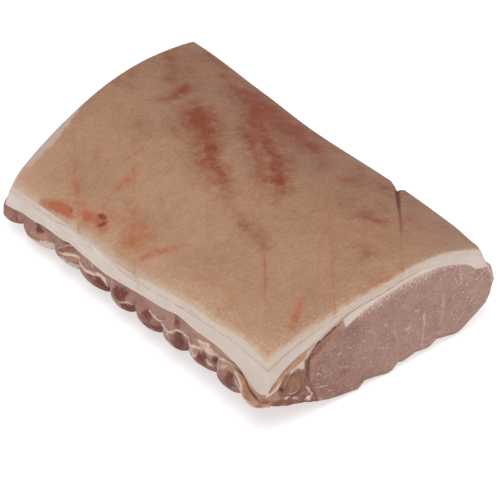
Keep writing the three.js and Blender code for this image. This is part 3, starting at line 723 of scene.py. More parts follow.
# On the eye muscle's cut end: veins and flecks of marbling with its pale shining edge, and darker places.
VEINS = [
    [(24.7, 30, 1.1, 0.6), (25, 27, 1.5, 1), (24.6, 18.5, 1, 0.9), (24.8, 11, 1.1, 0.9),
     (24.2, 6.4, 1, 0.5)],
    [(37.3, 36, 1, 0.6), (38.2, 30, 1, 0.7), (39, 26, 1.1, 0.6), (38.2, 20, 0.9, 0.5),
     (37.4, 16.6, 0.9, 0.3)],
    [(48.5, 51, 1, 0.7), (49.2, 46, 0.9, 0.5), (50.4, 41, 0.8, 0.4)],
    [(-51, 18.4, 0.9, 0.7), (-47, 17, 1.1, 0.9), (-43.4, 15.4, 1, 0.7)],
    [(17.4, 34.6, 1, 0.8), (21.4, 32.4, 1, 0.7)],
    [(3, 29, 1, 0.6), (3.6, 26, 1.1, 0.6), (5.2, 21, 0.8, 0.4), (6.6, 17, 0.8, 0.3)],
    [(10.6, 26, 1.2, 0.8), (12.4, 24.6, 1.4, 0.9), (15, 25.4, 1, 0.6)],
    [(13.6, 28.4, 0.9, 0.5), (12.4, 24, 0.9, 0.6)],
    [(-36.4, 33, 0.9, 0.6), (-33.8, 33.4, 0.9, 0.7)],
    [(-34.4, 22.6, 1, 0.8), (-32.4, 21.6, 1.1, 0.9)],
    [(-30.6, 20.8, 1, 0.8), (-29, 20.4, 0.9, 0.7)],
    [(-48.4, 9.8, 1.1, 0.9), (-46.6, 8, 1.1, 0.8)],
    [(-18, 38.4, 0.9, 0.4), (-12, 34.6, 0.9, 0.5), (-8.4, 31, 0.8, 0.3)],
    [(-5.4, 21.4, 0.9, 0.5), (0, 18.4, 0.9, 0.4)],
    [(-3.4, 34.8, 0.9, 0.6), (-1.8, 34, 0.9, 0.5)],
    [(-41.6, 23, 0.9, 0.5), (-41, 23.4, 0.9, 0.5)],
    [(54, 40, 0.9, 0.5), (57.4, 43.4, 0.9, 0.6)],
    [(62, 34, 1, 0.6), (66.6, 36.4, 1.1, 0.7)],
    [(64, 31.6, 0.9, 0.5), (67.6, 33.6, 1, 0.6)],
    [(57, 26, 1, 0.6), (60.4, 28, 1, 0.5)],
    [(55, 33, 0.9, 0.5), (58, 36.6, 0.9, 0.5)],
    [(48, 7, 0.9, 0.4), (50.6, 12, 0.9, 0.5), (56, 16, 0.8, 0.3)],
    [(33.4, 11.6, 1.8, 0.4), (37.4, 10.6, 1.6, 0.4)],
    [(66, 44.6, 2, 0.6), (70, 39.6, 2.6, 0.8), (73.6, 34, 2.6, 0.8), (75.4, 28, 2, 0.6),
     (75.8, 22, 1.4, 0.3)],
    [(60.6, 41.6, 1.4, 0.6), (65, 41.4, 1.6, 0.7), (69, 36.6, 1.4, 0.6)],
]
EYE_DARK = [
    [(-37, 16, 1.6, 0.5), (-31, 19, 1.6, 0.5), (-27.6, 17, 1.3, 0.4)],
    [(39.6, 24.6, 1.6, 0.4), (42.6, 30, 1.8, 0.4)],
    [(-50, 22, 6, 0.4), (-42, 12, 7, 0.4), (-34, 6, 6, 0.35)],
    [(-36, 44, 5, 0.3), (-26, 44, 6, 0.35), (-24, 36, 7, 0.3)],
    [(-20, 6, 3, 0.4), (-18, 8, 2.5, 0.4)],
    [(33, 30, 3, 0.3), (33.6, 10, 3, 0.25)],
    [(24.6, 18.4, 1, 0.8), (24.4, 17.4, 1, 0.7)],
]


# ---- The pieces -------------------------------------------------------------------------------------


def score_marks(x, y):
    """Signed distance in mm from the nearest score (plus on its cut-end side), and how open that is."""
    offset, opened = np.full(x.shape, 9.0), np.zeros(x.shape)
    for score in SCORES:
        for (x0, y0, o0), (x1, y1, o1) in zip(score, score[1:]):
            run = math.hypot(x1 - x0, y1 - y0)
            ax, ay = (x1 - x0) / run, (y1 - y0) / run
            along = (x - x0) * ax + (y - y0) * ay
            side = (x - x0) * -ay + (y - y0) * ax
            beyond = np.maximum(0, np.maximum(-along, along - run))
            away = np.hypot(side, beyond)
            nearer = away < np.abs(offset)
            offset = np.where(nearer, np.where(side < 0, -away, away), offset)
            opened = np.where(nearer, mix(o0, o1, unit(along / run)), opened)
    return offset, opened * (1 - smooth(2, 9, np.abs(offset)))


def notch_bite(x, depth):
    """How far the open score draws the back edge in: a slope up to its tip, then a steep side, to a ledge."""
    slope = unit((x - (NOTCH_X - NOTCH_OPEN)) / NOTCH_OPEN)
    bite = NOTCH_BITE * slope * unit((NOTCH_X + NOTCH_STEEP - x) / NOTCH_STEEP)
    return bite * (1 - smooth(NOTCH_DEPTH - 2, NOTCH_DEPTH + 1, depth))


def slit_depth(x, y):
    """The slit that runs on from the notch: a tapering trough with steep sides."""
    ahead, across = math.cos(SLIT_HEADING), math.sin(SLIT_HEADING)
    along = ((x - NOTCH_X) * ahead + (y - NOTCH_Y) * across) / SLIT_LENGTH
    aside = (y - NOTCH_Y) * ahead - (x - NOTCH_X) * across
    half = mix(*SLIT_HALF_WIDTHS, smooth(0.1, 0.6, along))
    trough = 1 - smooth(0.1, 1, np.abs(aside + 0.3) / half)
    deep = mix(*SLIT_DEPTHS, smooth(0.15, 0.6, along))
    return trough * deep * smooth(-0.1, 0.0, along) * (1 - smooth(0.8, 1, along))


def rind_rim(x, y, from_far):
    """How far in mm the rind at a place is from its bared rim: the least of the distances from its four
    edges, each stretched where the rim is narrower there."""
    rim = np.minimum((CUT_X - x) * mix(1, 1.8, smooth(-50, 10, y)), y - RIB_Y)
    rim = np.minimum(rim, 1.5 * from_far + 25 * smooth(-60, -10, y))
    rim = np.minimum(rim, 2.5 * (back_edge_y(x) - y) + 3 + 12 * (1 - smooth(92, 118, x)))
    return rim + 1.1 * smooth(96, 124, x) * (1 - smooth(-74, -58, y)) * smooth(0, 2, rim)


def rind_tone(x, y):
    """How dark the rind is: a sum of S-curves that darken it in from the rib side and towards the back,
    and lighten it at the back of the cut end, in a round patch and at the far end's rib corner."""
    tone = 0.18 + 0.2 * smooth(-84, -54, y) + 0.42 * smooth(-40, 75, y)
    tone = tone - 0.16 * smooth(80, 130, x) * smooth(-30, 30, y)
    tone = tone - 0.12 * np.exp(-(((x + 16) / 36) ** 2) - ((y + 38) / 22) ** 2)
    tone = tone + 0.02 * smooth(60, 125, x) * (1 - smooth(-60, -30, y))
    return tone - 0.13 * (1 - smooth(-90, -40, x)) * (1 - smooth(-62, -38, y))


def fat_cap(relief):
    """The fat cap's points and fields: a bent block between the underside of the fat and the rind.

    Its rind follows the domed height, pressed in along the scores and the open slit; its walls are drawn
    in at the notch, step back below the skin and waver a little; its edges are rounded.
    """
    u_line = grid_line((1.2, 0.3), (173, 0.9), (42, 0.5), (38, 0.85), (1.2, 0.3))
    u_line = np.delete(u_line, np.arange((len(u_line) - 1) % HIDDEN_STRIP) * 3 + 9)
    v_line = grid_line((1.2, 0.3), (138, 0.85), (24, 0.5), (1.2, 0.3))
    w_line = 1 - grid_line((1.2, 0.3), (5, 0.7), (9, 1.3))[::-1]
    u, v, w, groups = lattice_skin(u_line, v_line, w_line, HIDDEN_STRIP)

    rough_x = mix(mix(FAR_RIB_X, FAR_BACK_X, v), CUT_X, u)
    widening = FAT_BACK_EXTRA * (1 - w) * (1 - 0.4 * smooth(100, CUT_X, rough_x))
    y = mix(RIB_Y, back_edge_y(rough_x) + widening, v)
    rind, foot = height_at(rind_height, u, y), height_at(fat_foot, u, y)
    depth = (1 - w) * (rind - foot)
    x = station_x(u, y, rind - depth)
    y = y - notch_bite(x, depth) * unit((y - back_edge_y(x) + NOTCH_PULL) / NOTCH_PULL) ** 2
    rind, foot = rind_height(x, y), fat_foot(x, y)
    z = rind - (1 - w) * (rind - foot)

    size = np.array([[CUT_X - FAR_RIB_X], [back_edge_y(0) - RIB_Y], [1.0]])
    inset = np.minimum([u, v, w], [1 - u, 1 - v, 1 - w]) * size
    inset[2] = np.where(w < 0.5, z - foot, rind - z)
    toward = np.where(np.array([u, v, w]) < 0.5, 1.0, -1.0)
    back_corner = smooth(0.9, 1, v) * smooth(0.9, 0.98, u)
    radius = mix(MEETING_EDGE, RIND_EDGE_RADIUS, smooth(0, 0.25, w))
    radius = radius + BACK_CORNER_RADIUS * back_corner * smooth(0.2, 0.7, w)
    move = toward * rounding(inset, radius)

    offset, opened = score_marks(x, y)
    skin = np.where(inset[1] < inset[0], through(SKIN_RIB, x), through(SKIN_CUT, y))
    skin = np.where(v > 0.5, mix(skin, SKIN_BACK, smooth(0.9, 1, v)), skin)
    under_skin = depth - skin
    groove = SCORE_DEPTH * opened**2 * np.exp(-((offset / SCORE_WIDTH) ** 2))
    slit = slit_depth(x, y)
    swell = 0.35 * ripple(x, y, 46, 3) + 0.16 * ripple(x, y, 15, 4)
    pressed_in = groove + slit + relief * swell * smooth(0, 10, np.minimum(inset[0], inset[1]))
    z = z + move[2] - pressed_in * (1 - smooth(0, 1.5, depth))
    ledge = 0.35 * smooth(-0.4, 0.5, under_skin) + 0.2 + 0.3 * (0.5 + 0.5 * ripple(x + y, 2.5 * z, 22, 5))
    ledge = mix(0.4, ledge, smooth(0, 3, z - foot))
    cut_in = opened * np.exp(-((offset / SCORE_CUT_WIDTH) ** 2)) * SCORE_CUT_DEPTH * (1 - smooth(3, 8, depth))
    drawn_in = smooth(0.2, 1.2, depth) * (ledge * relief * (1 - back_corner) + cut_in)
    drawn_in = drawn_in * toward[:2] * np.exp(-inset[:2] / 3)

    from_far = x - station_x(0 * u, y, rind)
    rim = rind_rim(x, y, from_far)
    facet = through(FACET, y) + 0.8 * relief * ripple(y, 3 * x, 7, 6) * smooth(0, 2, through(FACET, y))
    x = x + move[0] + drawn_in[0]
    y = y + move[1] + drawn_in[1]
    on_cut, on_rib = x > CUT_X - 3, y < RIB_Y + 3
    fields = {
        "depth": depth,
        "under_skin": under_skin,
        "rim": rim,
        "score": offset,
        "opened": opened,
        "slit": unit(slit / 0.5),
        # The slit's deepest part, where painted shade goes.
        "slit_shade": smooth(0.9, 1.6, slit),
        "blood": np.maximum(brushed(BLOOD, x, y, 1.1), 0.6 * brushed(BLOOD, x, y, 2.1)),
        "scorch": np.maximum(0.95 * brushed(SCORCHED, x, y), 0.35 * brushed(SCORCHED, x, y, 1.8)),
        "scab": brushed(SCABS, x, y),
        "facet": smooth(0.8, -0.8, from_far - facet) * smooth(0, 1.2, through(FACET, y)),
        "fat_line": depth - through(FAT_LINE, y),
        "stain": np.maximum(brushed(STAINS, y, z) * on_cut, brushed(FLECKS, x, z) * on_rib),
        "tone": rind_tone(x, y),
        # corner: painted shade for the fat, growing towards the cut end's rib corner, and over the whole cut
        # end.
        "corner": 0.7 * smooth(0, 130, x) * (1 - smooth(-80, 0, y)) + 0.3 * smooth(CUT_X - 5, CUT_X - 2, x),
        "crevice": brushed(SEAM_SHADE, y, z) * smooth(CUT_X - 5, CUT_X - 2, x),
    }
    return np.stack([x, y, z], -1), groups, fields, depth > 0.25


def coons(foot, top, left, right, s, t):
    """(y, z) of a patch hung between four edges that meet at its corners: across both pairs of edges, less
    the flat patch between the corners."""
    flat = mix(mix(foot(0 * s), foot(0 * s + 1), s), mix(top(0 * s), top(0 * s + 1), s), t)
    return mix(foot(s), top(s), t) + mix(left(t), right(t), s) - flat


def block_edges(u, v, w, size, radius, kept=0.0):
    """The rounding of a block's edges, as moves along x, y and z, and the insets from its faces. Where kept
    is large the edges of the front and back faces, at v = 0 and 1, stay square."""
    inset = np.minimum([u, v, w], [1 - u, 1 - v, 1 - w]) * np.array(size)[:, None]
    toward = np.where(np.array([u, v, w]) < 0.5, 1.0, -1.0)
    return toward * rounding([inset[0], inset[1] + kept, inset[2]], radius), inset, toward


def eye_muscle(relief):
    """The eye muscle's points and fields: a block hung between underside, fat, seam and bulging back, in a
    power of a sine."""
    length, _, height = EYE_BLOCK
    u_line = grid_line((2, 0.4), (length, 3.4), (2.4, 0.4))
    v_line = grid_line((3, 0.5), (112, 0.7), (3, 0.5))
    w_line = grid_line((2, 0.4), (height, 0.7), (2, 0.4))
    u, v, w, groups = lattice_skin(u_line, v_line, w_line)
    back = back_edge_y(mix(mix(FAR_RIB_X, FAR_BACK_X, v), CUT_X, u))
    foot_back, top_back = back - EYE_FOOT_INSET, back + FAT_BACK_EXTRA - 0.6

    def top(s):
        """The edge under the fat, from the seam to the back."""
        y = mix(seam_y(1), top_back, s)
        return np.array([y, height_at(fat_foot, u, y) + OVERLAP])

    def foot(s):
        """The edge on the table."""
        y = mix(SEAM_FOOT_Y, foot_back, s)
        return np.array([y, height_at(underside, u, y)])

    def front(t):
        """The seam's edge, from the table to the fat."""
        return np.array([seam_y(t), mix(foot(0 * t)[1], top(0 * t)[1], t)])

    def rear(t):
        """The bulging back, which takes its own outline at the cut end."""
        bulge = EYE_BACK_BULGE - (FAT_BACK_EXTRA - 0.6) * t
        bulge = bulge * np.sin(math.pi * t**1.1) ** mix(0.85, 1.6, smooth(0.6, 1, t))
        y = mix(foot_back, top_back, t) + bulge
        z = mix(foot(0 * t + 1)[1], top(0 * t + 1)[1], t)
        at_cut = smooth(CUT_X - BACK_REACH, CUT_X - 1, station_x(u, y, z))
        return np.array([mix(y, between(CUT_BACK, z), at_cut), z])

    y, z = coons(foot, top, front, rear, v, w)
    x = station_x(u, y, z)
    radius = mix(EYE_RADIUS, MEETING_EDGE, smooth(0.85, 0.97, w)) * mix(0.5, 1, smooth(0, 0.06, v))
    joined = (1 - smooth(0.45, 0.65, w)) * (v < 0.5)
    move, inset, toward = block_edges(u, v, w, EYE_BLOCK, radius, 9 * joined)
    grain = 0.35 * ripple(y, z, 17, 11) + 0.2 * ripple(y, z, 6, 12)
    sunk = 0.4 + relief * grain * smooth(0, 5, np.minimum(inset[1], inset[2]))
    x = x + move[0] + toward[0] * np.maximum(0, sunk) * np.exp(-inset[0] / 3)
    rear_swell = smooth(0.9, 1, v) * (0.6 * ripple(x, 2 * z, 38, 13) - 0.5)
    y = y + move[1] + relief * rear_swell * np.sin(math.pi * w)
    z = z + move[2]
    fields = {
        "under_fat": height * (1 - w),
        "over_table": height * w,
        "fringe": smooth(-40, -18, y) * (1 - 0.8 * smooth(20, 46, y)),
        "tone": 1 - smooth(-60, 40, y),
    }
    on_cut = 1 - smooth(0, 4, length * (1 - u))
    marks = {"vein": VEINS, "eye_dark": EYE_DARK, "sheath": SHEATH, "rust": RUST_FACE, "crevice": SEAM_SHADE}
    for field, strokes in marks.items():
        fields[field] = brushed(strokes, y, z, 0.65 if field == "vein" else 1.1) * on_cut
    return np.stack([x, y, z], -1), groups, fields


def finger_swell(x):
    """0 in the grooves between the rib fingers, rising steeply to 1 over each finger, as the root of a sine;
    and which finger."""
    edges = np.array(FINGERS)[:, 0]
    n = np.clip(np.searchsorted(edges, x) - 1, 0, len(edges) - 2)
    return np.sin(math.pi * unit((x - edges[n]) / (edges[n + 1] - edges[n])) ** 0.8) ** 0.5, n


def rib_foot(x):
    """The lower edge of the rib side: each finger hangs from the line between its grooves to its lowest."""
    swell, n = finger_swell(x)
    start, groove, low = np.array(FINGERS).T
    return mix(mix(groove[n], groove[n + 1], unit((x - start[n]) / (start[n + 1] - start[n]))), low[n], swell)


def rib_lean(relief):
    """The rib-side lean's points and fields: a block hung between underside, fat, rib side and seam. The rib
    side swells into fingers with cores and membranes between them; the nodule sits in a hollow."""
    length, width, height = RIB_BLOCK
    u_line = grid_line((2, 0.4), (236, 0.78), (2.4, 0.4))
    v_line = grid_line((1.6, 0.4), (31, 0.65), (2, 0.5))
    w_line = grid_line((1.6, 0.4), (25, 0.55), (1.6, 0.4))
    u, v, w, groups = lattice_skin(u_line, v_line, w_line)

    def top(s):
        """The edge under the fat, from the rib side to the seam."""
        y = mix(RIB_Y, seam_y(1) + OVERLAP, s)
        return np.array([y, height_at(fat_foot, u, y) + OVERLAP])

    def foot(s):
        """The edge below, which the fingers hang from at the rib side."""
        y = mix(RIB_Y, SEAM_FOOT_Y + OVERLAP, s)
        x = station_x(u, y, 14)
        fingered = np.exp(-(y - RIB_Y) / 9) * (1 - smooth(CUT_X - 9, CUT_X - 2, x))
        return np.array([y, mix(height_at(underside, u, y), rib_foot(x), fingered)])

    def rib(t):
        """The rib side, which the fingers swell outwards."""
        x = station_x(u, RIB_Y + 0 * t, 20)
        out = FINGER_SWELL * (finger_swell(x)[0] - FINGER_LEVEL) * (1 - smooth(113, 119, x))
        out = out * np.sin(math.pi * unit(t / 0.85)) ** 0.8
        return np.array([RIB_Y - out, mix(foot(0 * t)[1], top(0 * t)[1], t)])

    def seam(t):
        """The edge along the eye muscle."""
        return np.array([seam_y(t) + OVERLAP, mix(foot(0 * t + 1)[1], top(0 * t + 1)[1], t)])

    y, z = coons(foot, top, rib, seam, v, w)
    x = station_x(u, y, z)
    radius = mix(RIB_RADIUS, MEETING_EDGE, smooth(0.5, 0.97, w)) * (1 - 0.7 * smooth(0.3, 0.6, v))
    radius = np.minimum(radius, mix(RIB_RADIUS, 0.6, smooth(0.8, 0.95, v)))
    joined = (1 - smooth(0.45, 0.65, w)) * (v > 0.5)
    move, inset, _ = block_edges(u, v, w, RIB_BLOCK, radius, 9 * joined)
    from_cut, from_rib = inset[0] + length * (u < 0.5), inset[1] + width * (v > 0.5)

    on_side = (1 - smooth(0, 4, from_rib)) * (x < CUT_X - 0.4)
    on_cut = 1 - smooth(0, 3, from_cut)
    side = {"core": RIB_CORES, "pale_fat": RIB_FAT, "tanned": TANNED_SIDE, "crease": SHADED_SIDE_CREASES}
    face = {
        "strip": CUT_STRIPS, "wedge": FAT_WEDGES, "rust": RUST_FACE, "dark": LEAN_DARK, "crevice": SEAM_SHADE,
    }
    fields = {field: brushed(strokes, x, z) * on_side for field, strokes in side.items()}
    fields["membrane"] = brushed(MEMBRANES, x, z, 0.8) * on_side
    fields.update({field: brushed(strokes, y, z, 1.3) * on_cut for field, strokes in face.items()})
    fields["over_table"] = height * w

    def raised(**heights):
        """How high in mm the marks stand, together."""
        return sum(height * fields[field] for field, height in heights.items())

    side_relief = raised(membrane=0.5, pale_fat=0.4, core=-0.5, crease=-0.5) + 0.3 * ripple(x, z, 9, 21)
    side_out = relief * side_relief * np.sin(math.pi * w)
    face_relief = raised(strip=0.7, wedge=0.3, rust=-0.4, crevice=-0.8) + 0.25 * ripple(y, z, 7, 22)
    face_out = relief * face_relief - 0.3
    across = (y - NODULE_Y - NODULE_TILT * (z - NODULE_Z)) / NODULE_HALF_WIDTH
    away = np.hypot(across, (z - NODULE_Z) / NODULE_HALF_HEIGHT)
    face_out = face_out - 0.9 * (1 - smooth(0.8, 1.35, away)) * unit(0.6 - 0.5 * across)
    x = x + move[0] + np.minimum(face_out, 0.4) * np.exp(-from_cut / 4)
    x = x + (0.4 * relief * ripple(y, z, 9, 23) - 0.8) * np.exp(-length * u / 4)
    y = y + move[1] - side_out * np.exp(-from_rib / 4)
    z = z + move[2]
    fields["tanned"] = np.maximum(fields["tanned"], brushed(TANNED_FACE, y, z) * on_cut)
    return np.stack([x, y, z], -1), groups, fields


def dried_nodule(relief):
    """The nodule: an ellipsoid from a bent block's six faces pushed onto a ball, wrinkled along its height,
    blunt on its face and a little squarer than a ball."""
    line = grid_line((1, 1 / NODULE_CELLS))
    *cube, groups = lattice_skin(line, line, line)
    ball = np.tan((2 * np.stack(cube) - 1) * (math.pi / 4))
    ball = ball / np.sqrt((ball**2).sum(0))
    _, across, up = ball
    wrinkle = 0.035 * (ripple(30 * across, 9 * up, 14, 31) + 0.5 * ripple(30 * across, 22 * up, 7, 32))
    for depth, place, slant, width in ((0.1, 0.3, 0.15, 0.13), (0.07, -0.25, 0.3, 0.1)):
        wrinkle = wrinkle - depth * np.exp(-(((across - place - slant * up) / width) ** 2))
    out, across, up = ball * (1 + relief * wrinkle)
    x = CUT_X + NODULE_PROUD - NODULE_DEEP + NODULE_DEEP * np.sign(out) * np.abs(out) ** 0.8 * 0.97
    y = NODULE_Y + NODULE_HALF_WIDTH * across + NODULE_TILT * NODULE_HALF_HEIGHT * up
    z = NODULE_Z + NODULE_HALF_HEIGHT * up
    # low: the lower tip, for its painted highlight; edge: the base, for painted shade.
    fields = {
        "low": smooth(-0.45, -0.8, up) * smooth(0.5, -0.1, across) * smooth(-0.75, -0.5, across),
        "edge": smooth(0.5, 0.15, out),
    }
    return np.stack([x, y, z], -1), groups, fields


def corner_flap(relief):
    """The flap of membrane: a sheet ruled between its rim, which lies on the side, and its free hem, which
    stands out and curls; its visible face points up and outwards, and its edges are rounded."""
    u_line = grid_line((1, 0.25), (24, 0.3), (1, 0.25))
    v_line = grid_line((1.2, 0.2), (6, 0.3), (1, 0.25))
    u, v, w, groups = lattice_skin(u_line, v_line, grid_line((1, 0.25)))
    hem, rim = np.array(FLAP_HEM), np.array(FLAP_RIM)
    x, y, z = (mix(through(hem[:, [0, n]], u), through(rim[:, [0, n]], u), v) for n in (1, 2, 3))
    bow = np.sin(math.pi * u) ** 0.5
    curl = 0.7 * np.sin(math.pi * v) * bow + relief * 0.25 * ripple(x, 2.5 * z, 8, 41) * np.sin(math.pi * v)
    lip = 0.6 * np.exp(-((v / 0.18) ** 2)) * bow
    move = block_edges(u, v, w, (FLAP_LENGTH, FLAP_WIDTH, FLAP_THICKNESS), 0.6)[0]
    out = FLAP_THICKNESS * (w - 1) * mix(1, 0.7, v) - curl + lip + move[2]
    y, z = y + FLAP_OUT_Y * out + FLAP_OUT_Z * move[1], z + FLAP_OUT_Z * out - FLAP_OUT_Y * move[1]
    # lip, the distance from the hem, places the painted highlight there; crease is the distance from the rim.
    fields = {"lip": FLAP_WIDTH * v, "crease": FLAP_WIDTH * (1 - v)}
    return np.stack([x + move[0], y, z], -1), groups, fields


# ---- Materials: a noise's scale is 1000 over the size of its patches in millimetres -------------------


def scalded_rind(look):
    """Raw pork rind, scalded and scraped: a tan, slightly waxy skin with fine hair streaks that run across
    the joint, blood drawn into it in blotches, and a paler cut rim."""
    material, tree, place = new_material("scalded_pork_rind")
    hair, stubble = (
        add(tree, "Mapping", {"Vector": place, "Rotation": (0, 0, -0.05), "Scale": (1, drawn_out, 1)})
        for drawn_out in (0.3, 0.4)
    )
    broad, mottle, fine, streaks, short = (
        add(tree, "TexNoise", {"Vector": where, "Scale": 1000 / size, "Detail": detail, "Roughness": rough})
        for where, size, detail, rough in (
            (place, 34, 2, 0.5), (place, 7, 4, 0.6), (place, 1.6, 3, 0.65), (hair, 1.0, 2, 0.55),
            (stubble, 0.7, 2, 0.6),
        )
    )
    tone, rim, offset, opened, facet, slit, slit_shade = (
        add(tree, "Attribute", attribute_name=field, out="Fac")
        for field in ("tone", "rim", "score", "opened", "facet", "slit", "slit_shade")
    )

    # The rind darkens towards the far end and the back, and wavers. The rim, where the knife bared the pale
    # skin, is an uneven fade drawn out along the hair, with painted glints in short pale hair streaks that
    # thin out away from it.
    tone = wavered(
        tree, tone, (broad, 0, 1, -0.22, 0.22), (mottle, 0, 1, -0.2, 0.2), (streaks, 0.3, 0.7, -0.14, 0.14),
        (fine, 0.3, 0.7, -0.07, 0.07),
    )
    thinning, tufts = add(tree, "MapRange", (rim, 3, 15, 0.42, 0)), add(tree, "MapRange", (short, 0.52, 0.68))
    hair_glints = add(tree, "Math", (thinning, tufts), operation="MULTIPLY")
    rim = wavered(tree, rim, (mottle, 0.3, 0.7, -0.8, 0.8), (streaks, 0.3, 0.7, 0.9, -0.9))
    bare = add(tree, "MapRange", (rim, -0.8, 4.6, 0.68, 0), interpolation_type="SMOOTHSTEP")
    colour = look.rind_pale
    for mask, tint in ((tone, look.rind_deep), (bare, look.skin_rim), (hair_glints, look.skin_band_and_glint)):
        colour = add(tree, "Mix", {0: mask, 6: colour, 7: tint}, out=2, data_type="RGBA")

    # Scorched patches, blood and scabs, with their edges broken up by the mottling and the streaks.
    wear = add(tree, "MapRange", (mottle, 0.3, 0.7, -0.36, 0.3))
    wear = wavered(tree, wear, (streaks, 0.3, 0.7, -0.1, 0.1), (broad, 0, 1, -0.2, 0.2))
    marks = ("scorch", look.scorched, 0.9), ("blood", look.blood, 0.95)
    colour = worn_marks(tree, colour, wear, 1.6, 0.04, 0.9, *marks)
    colour = broken_marks(tree, colour, ("scab", look.scab, fine, 0.36, 0.56, 0.4, 1.35))

    # Scores: a thin, broken, warmer line with a faint halo. Then the slanting facet, the open slit, and
    # painted shade deep in the slit.
    offset = add(tree, "Math", (wavered(tree, offset, (mottle, 0, 1, -0.9, 0.9)),), operation="ABSOLUTE")
    broken = add(tree, "MapRange", (mottle, 0.35, 0.6, 0.25, 1))
    for half, share, tint in ((2.4, 0.18, look.scorched), (0.65, 0.55, look.score)):
        mask = add(tree, "MapRange", (offset, 0.05, half, share, 0), interpolation_type="SMOOTHSTEP")
        for factor in (broken, opened):
            mask = add(tree, "Math", (mask, factor), operation="MULTIPLY")
        colour = add(tree, "Mix", {0: mask, 6: colour, 7: tint}, out=2, data_type="RGBA")
    for field, share, tint in (
        (facet, 1.0, look.facet), (slit, 0.9, look.slit), (slit_shade, 0.7, look.rib_core_and_shade),
    ):
        mask = add(tree, "Math", (field, share), operation="MULTIPLY")
        colour = add(tree, "Mix", {0: mask, 6: colour, 7: tint}, out=2, data_type="RGBA")

    relief = wavered(tree, fine, (streaks, 0, 1, 0, 0.5), (mottle, 0, 1, 0, 1.4))
    finish_material(tree, {
        "Base Color": colour, "Roughness": add(tree, "MapRange", (mottle, 0, 1, 0.6, 0.38)), "IOR": 1.42,
        "Specular IOR Level": 0.35, "Subsurface Weight": 0.12, "Subsurface Radius": (1.0, 0.5, 0.3),
        "Subsurface Scale": 0.0015,
    }, relief, strength=0.4)
    return material


def back_fat(look):
    """Firm white back fat under a band of paler skin: greasy and even, with thin tan lines where its layers
    part, and a few small tan flecks."""
    material, tree, place = new_material("pork_back_fat")
    layered = add(tree, "Mapping", {"Vector": place, "Scale": (0.12, 0.12, 1)})
    broad, fine, layers, flecks, gaps = (
        add(tree, "TexNoise", {"Vector": where, "Scale": 1000 / size, "Detail": detail})
        for where, size, detail in (
            (place, 18, 3), (place, 1.4, 3), (layered, 1.6, 3), (place, 5, 1), (place, 9, 2),
        )
    )
    x, y = (add(tree, "SeparateXYZ", (place,), out=axis) for axis in "XY")
    corner, under, depth, deep = (
        add(tree, "Attribute", attribute_name=field, out="Fac")
        for field in ("corner", "under_skin", "depth", "fat_line")
    )

    # White fat, with painted shade towards the cut end's rib corner and over the whole cut end,
    # duller in random patches, and in thin layers.
    white = wavered(tree, corner, (broad, 0.3, 0.7, 0, 0.8))
    stripe = add(tree, "MapRange", (layers, 0.42, 0.62, 0, 0.75))
    colour = look.fat
    for mask in (white, stripe):
        colour = add(tree, "Mix", {0: mask, 6: colour, 7: look.fat_deep_and_shade}, out=2, data_type="RGBA")

    # The skin's own thickness, a beige band that pales with depth, and the fine broken lines under it.
    under = wavered(tree, under, (broad, 0.3, 0.7, -0.6, 0.6), (fine, 0.3, 0.7, -0.4, 0.4))
    band = add(tree, "MapRange", (under, -0.7, 0.3, 0.95, 0))
    deeper = add(tree, "MapRange", (depth, 1.2, 5, 1, 0.3))
    band = add(tree, "Math", (band, deeper), operation="MULTIPLY")
    beige = add(tree, "Mix", {0: layers, 6: look.skin_band_and_glint, 7: look.skin_band_deep}, out=2, data_type="RGBA")
    colour = add(tree, "Mix", {0: band, 6: colour, 7: beige}, out=2, data_type="RGBA")
    fading = add(tree, "MapRange", (y, at(1, -5), at(1, 35), 1, 0.3))
    lines = []
    for shift, share, low in ((0.0, 0.85, 0.3), (1.7, 0.5, 0.47)):
        broken = add(tree, "MapRange", (gaps, low, low + 0.15, 0.15))
        lines.append((under, shift, 0.08, 0.5, share, (broken, fading), look.fat_line))

    # Across the cut end a brown double line runs deeper in the fat, from above the seam to the back.
    deep = wavered(tree, deep, (fine, 0.3, 0.7, -0.35, 0.35))
    starts = add(tree, "MapRange", (y, at(1, -44), at(1, -36)))
    ends = add(tree, "MapRange", (y, at(1, 2), at(1, 36), 1, 0.15))
    on_cut = add(tree, "Math", (x, at(0, CUT_X - 1.6)), operation="GREATER_THAN")
    lines += [
        (deep, shift, 0.15, 0.6, share, (starts, ends, on_cut), tint)
        for shift, share, tint in ((0.0, 0.95, look.fat_line), (0.95, 0.45, look.skin_band_deep))
    ]
    for level, shift, core, half, share, factors, tint in lines:
        away = add(tree, "Math", (add(tree, "Math", (level, shift)),), operation="ABSOLUTE")
        mask = add(tree, "MapRange", (away, core, half, share, 0))
        for factor in factors:
            mask = add(tree, "Math", (mask, factor), operation="MULTIPLY")
        colour = add(tree, "Mix", {0: mask, 6: colour, 7: tint}, out=2, data_type="RGBA")

    # Stains and specks of tan, and the painted shade of the seam's crevice where it reaches the fat.
    colour = broken_marks(tree, colour, ("stain", look.fat_line, fine, 0.3, 0.6, 0.45, 0.85))
    specks = add(tree, "MapRange", (flecks, 0.76, 0.82, 0, 0.3))
    colour = add(tree, "Mix", {0: specks, 6: colour, 7: look.fat_line}, out=2, data_type="RGBA")
    colour = broken_marks(tree, colour, ("crevice", look.crevice, fine, 0.35, 0.6, 0.2, 1))
    finish_material(tree, {
        "Base Color": colour, "Roughness": 0.42, "IOR": 1.45, "Specular IOR Level": 0.4,
        "Subsurface Weight": 0.25, "Subsurface Radius": (1.0, 0.7, 0.5), "Subsurface Scale": 0.002,
    }, wavered(tree, layers, (fine, 0, 1, 0, 0.5)))
    return material


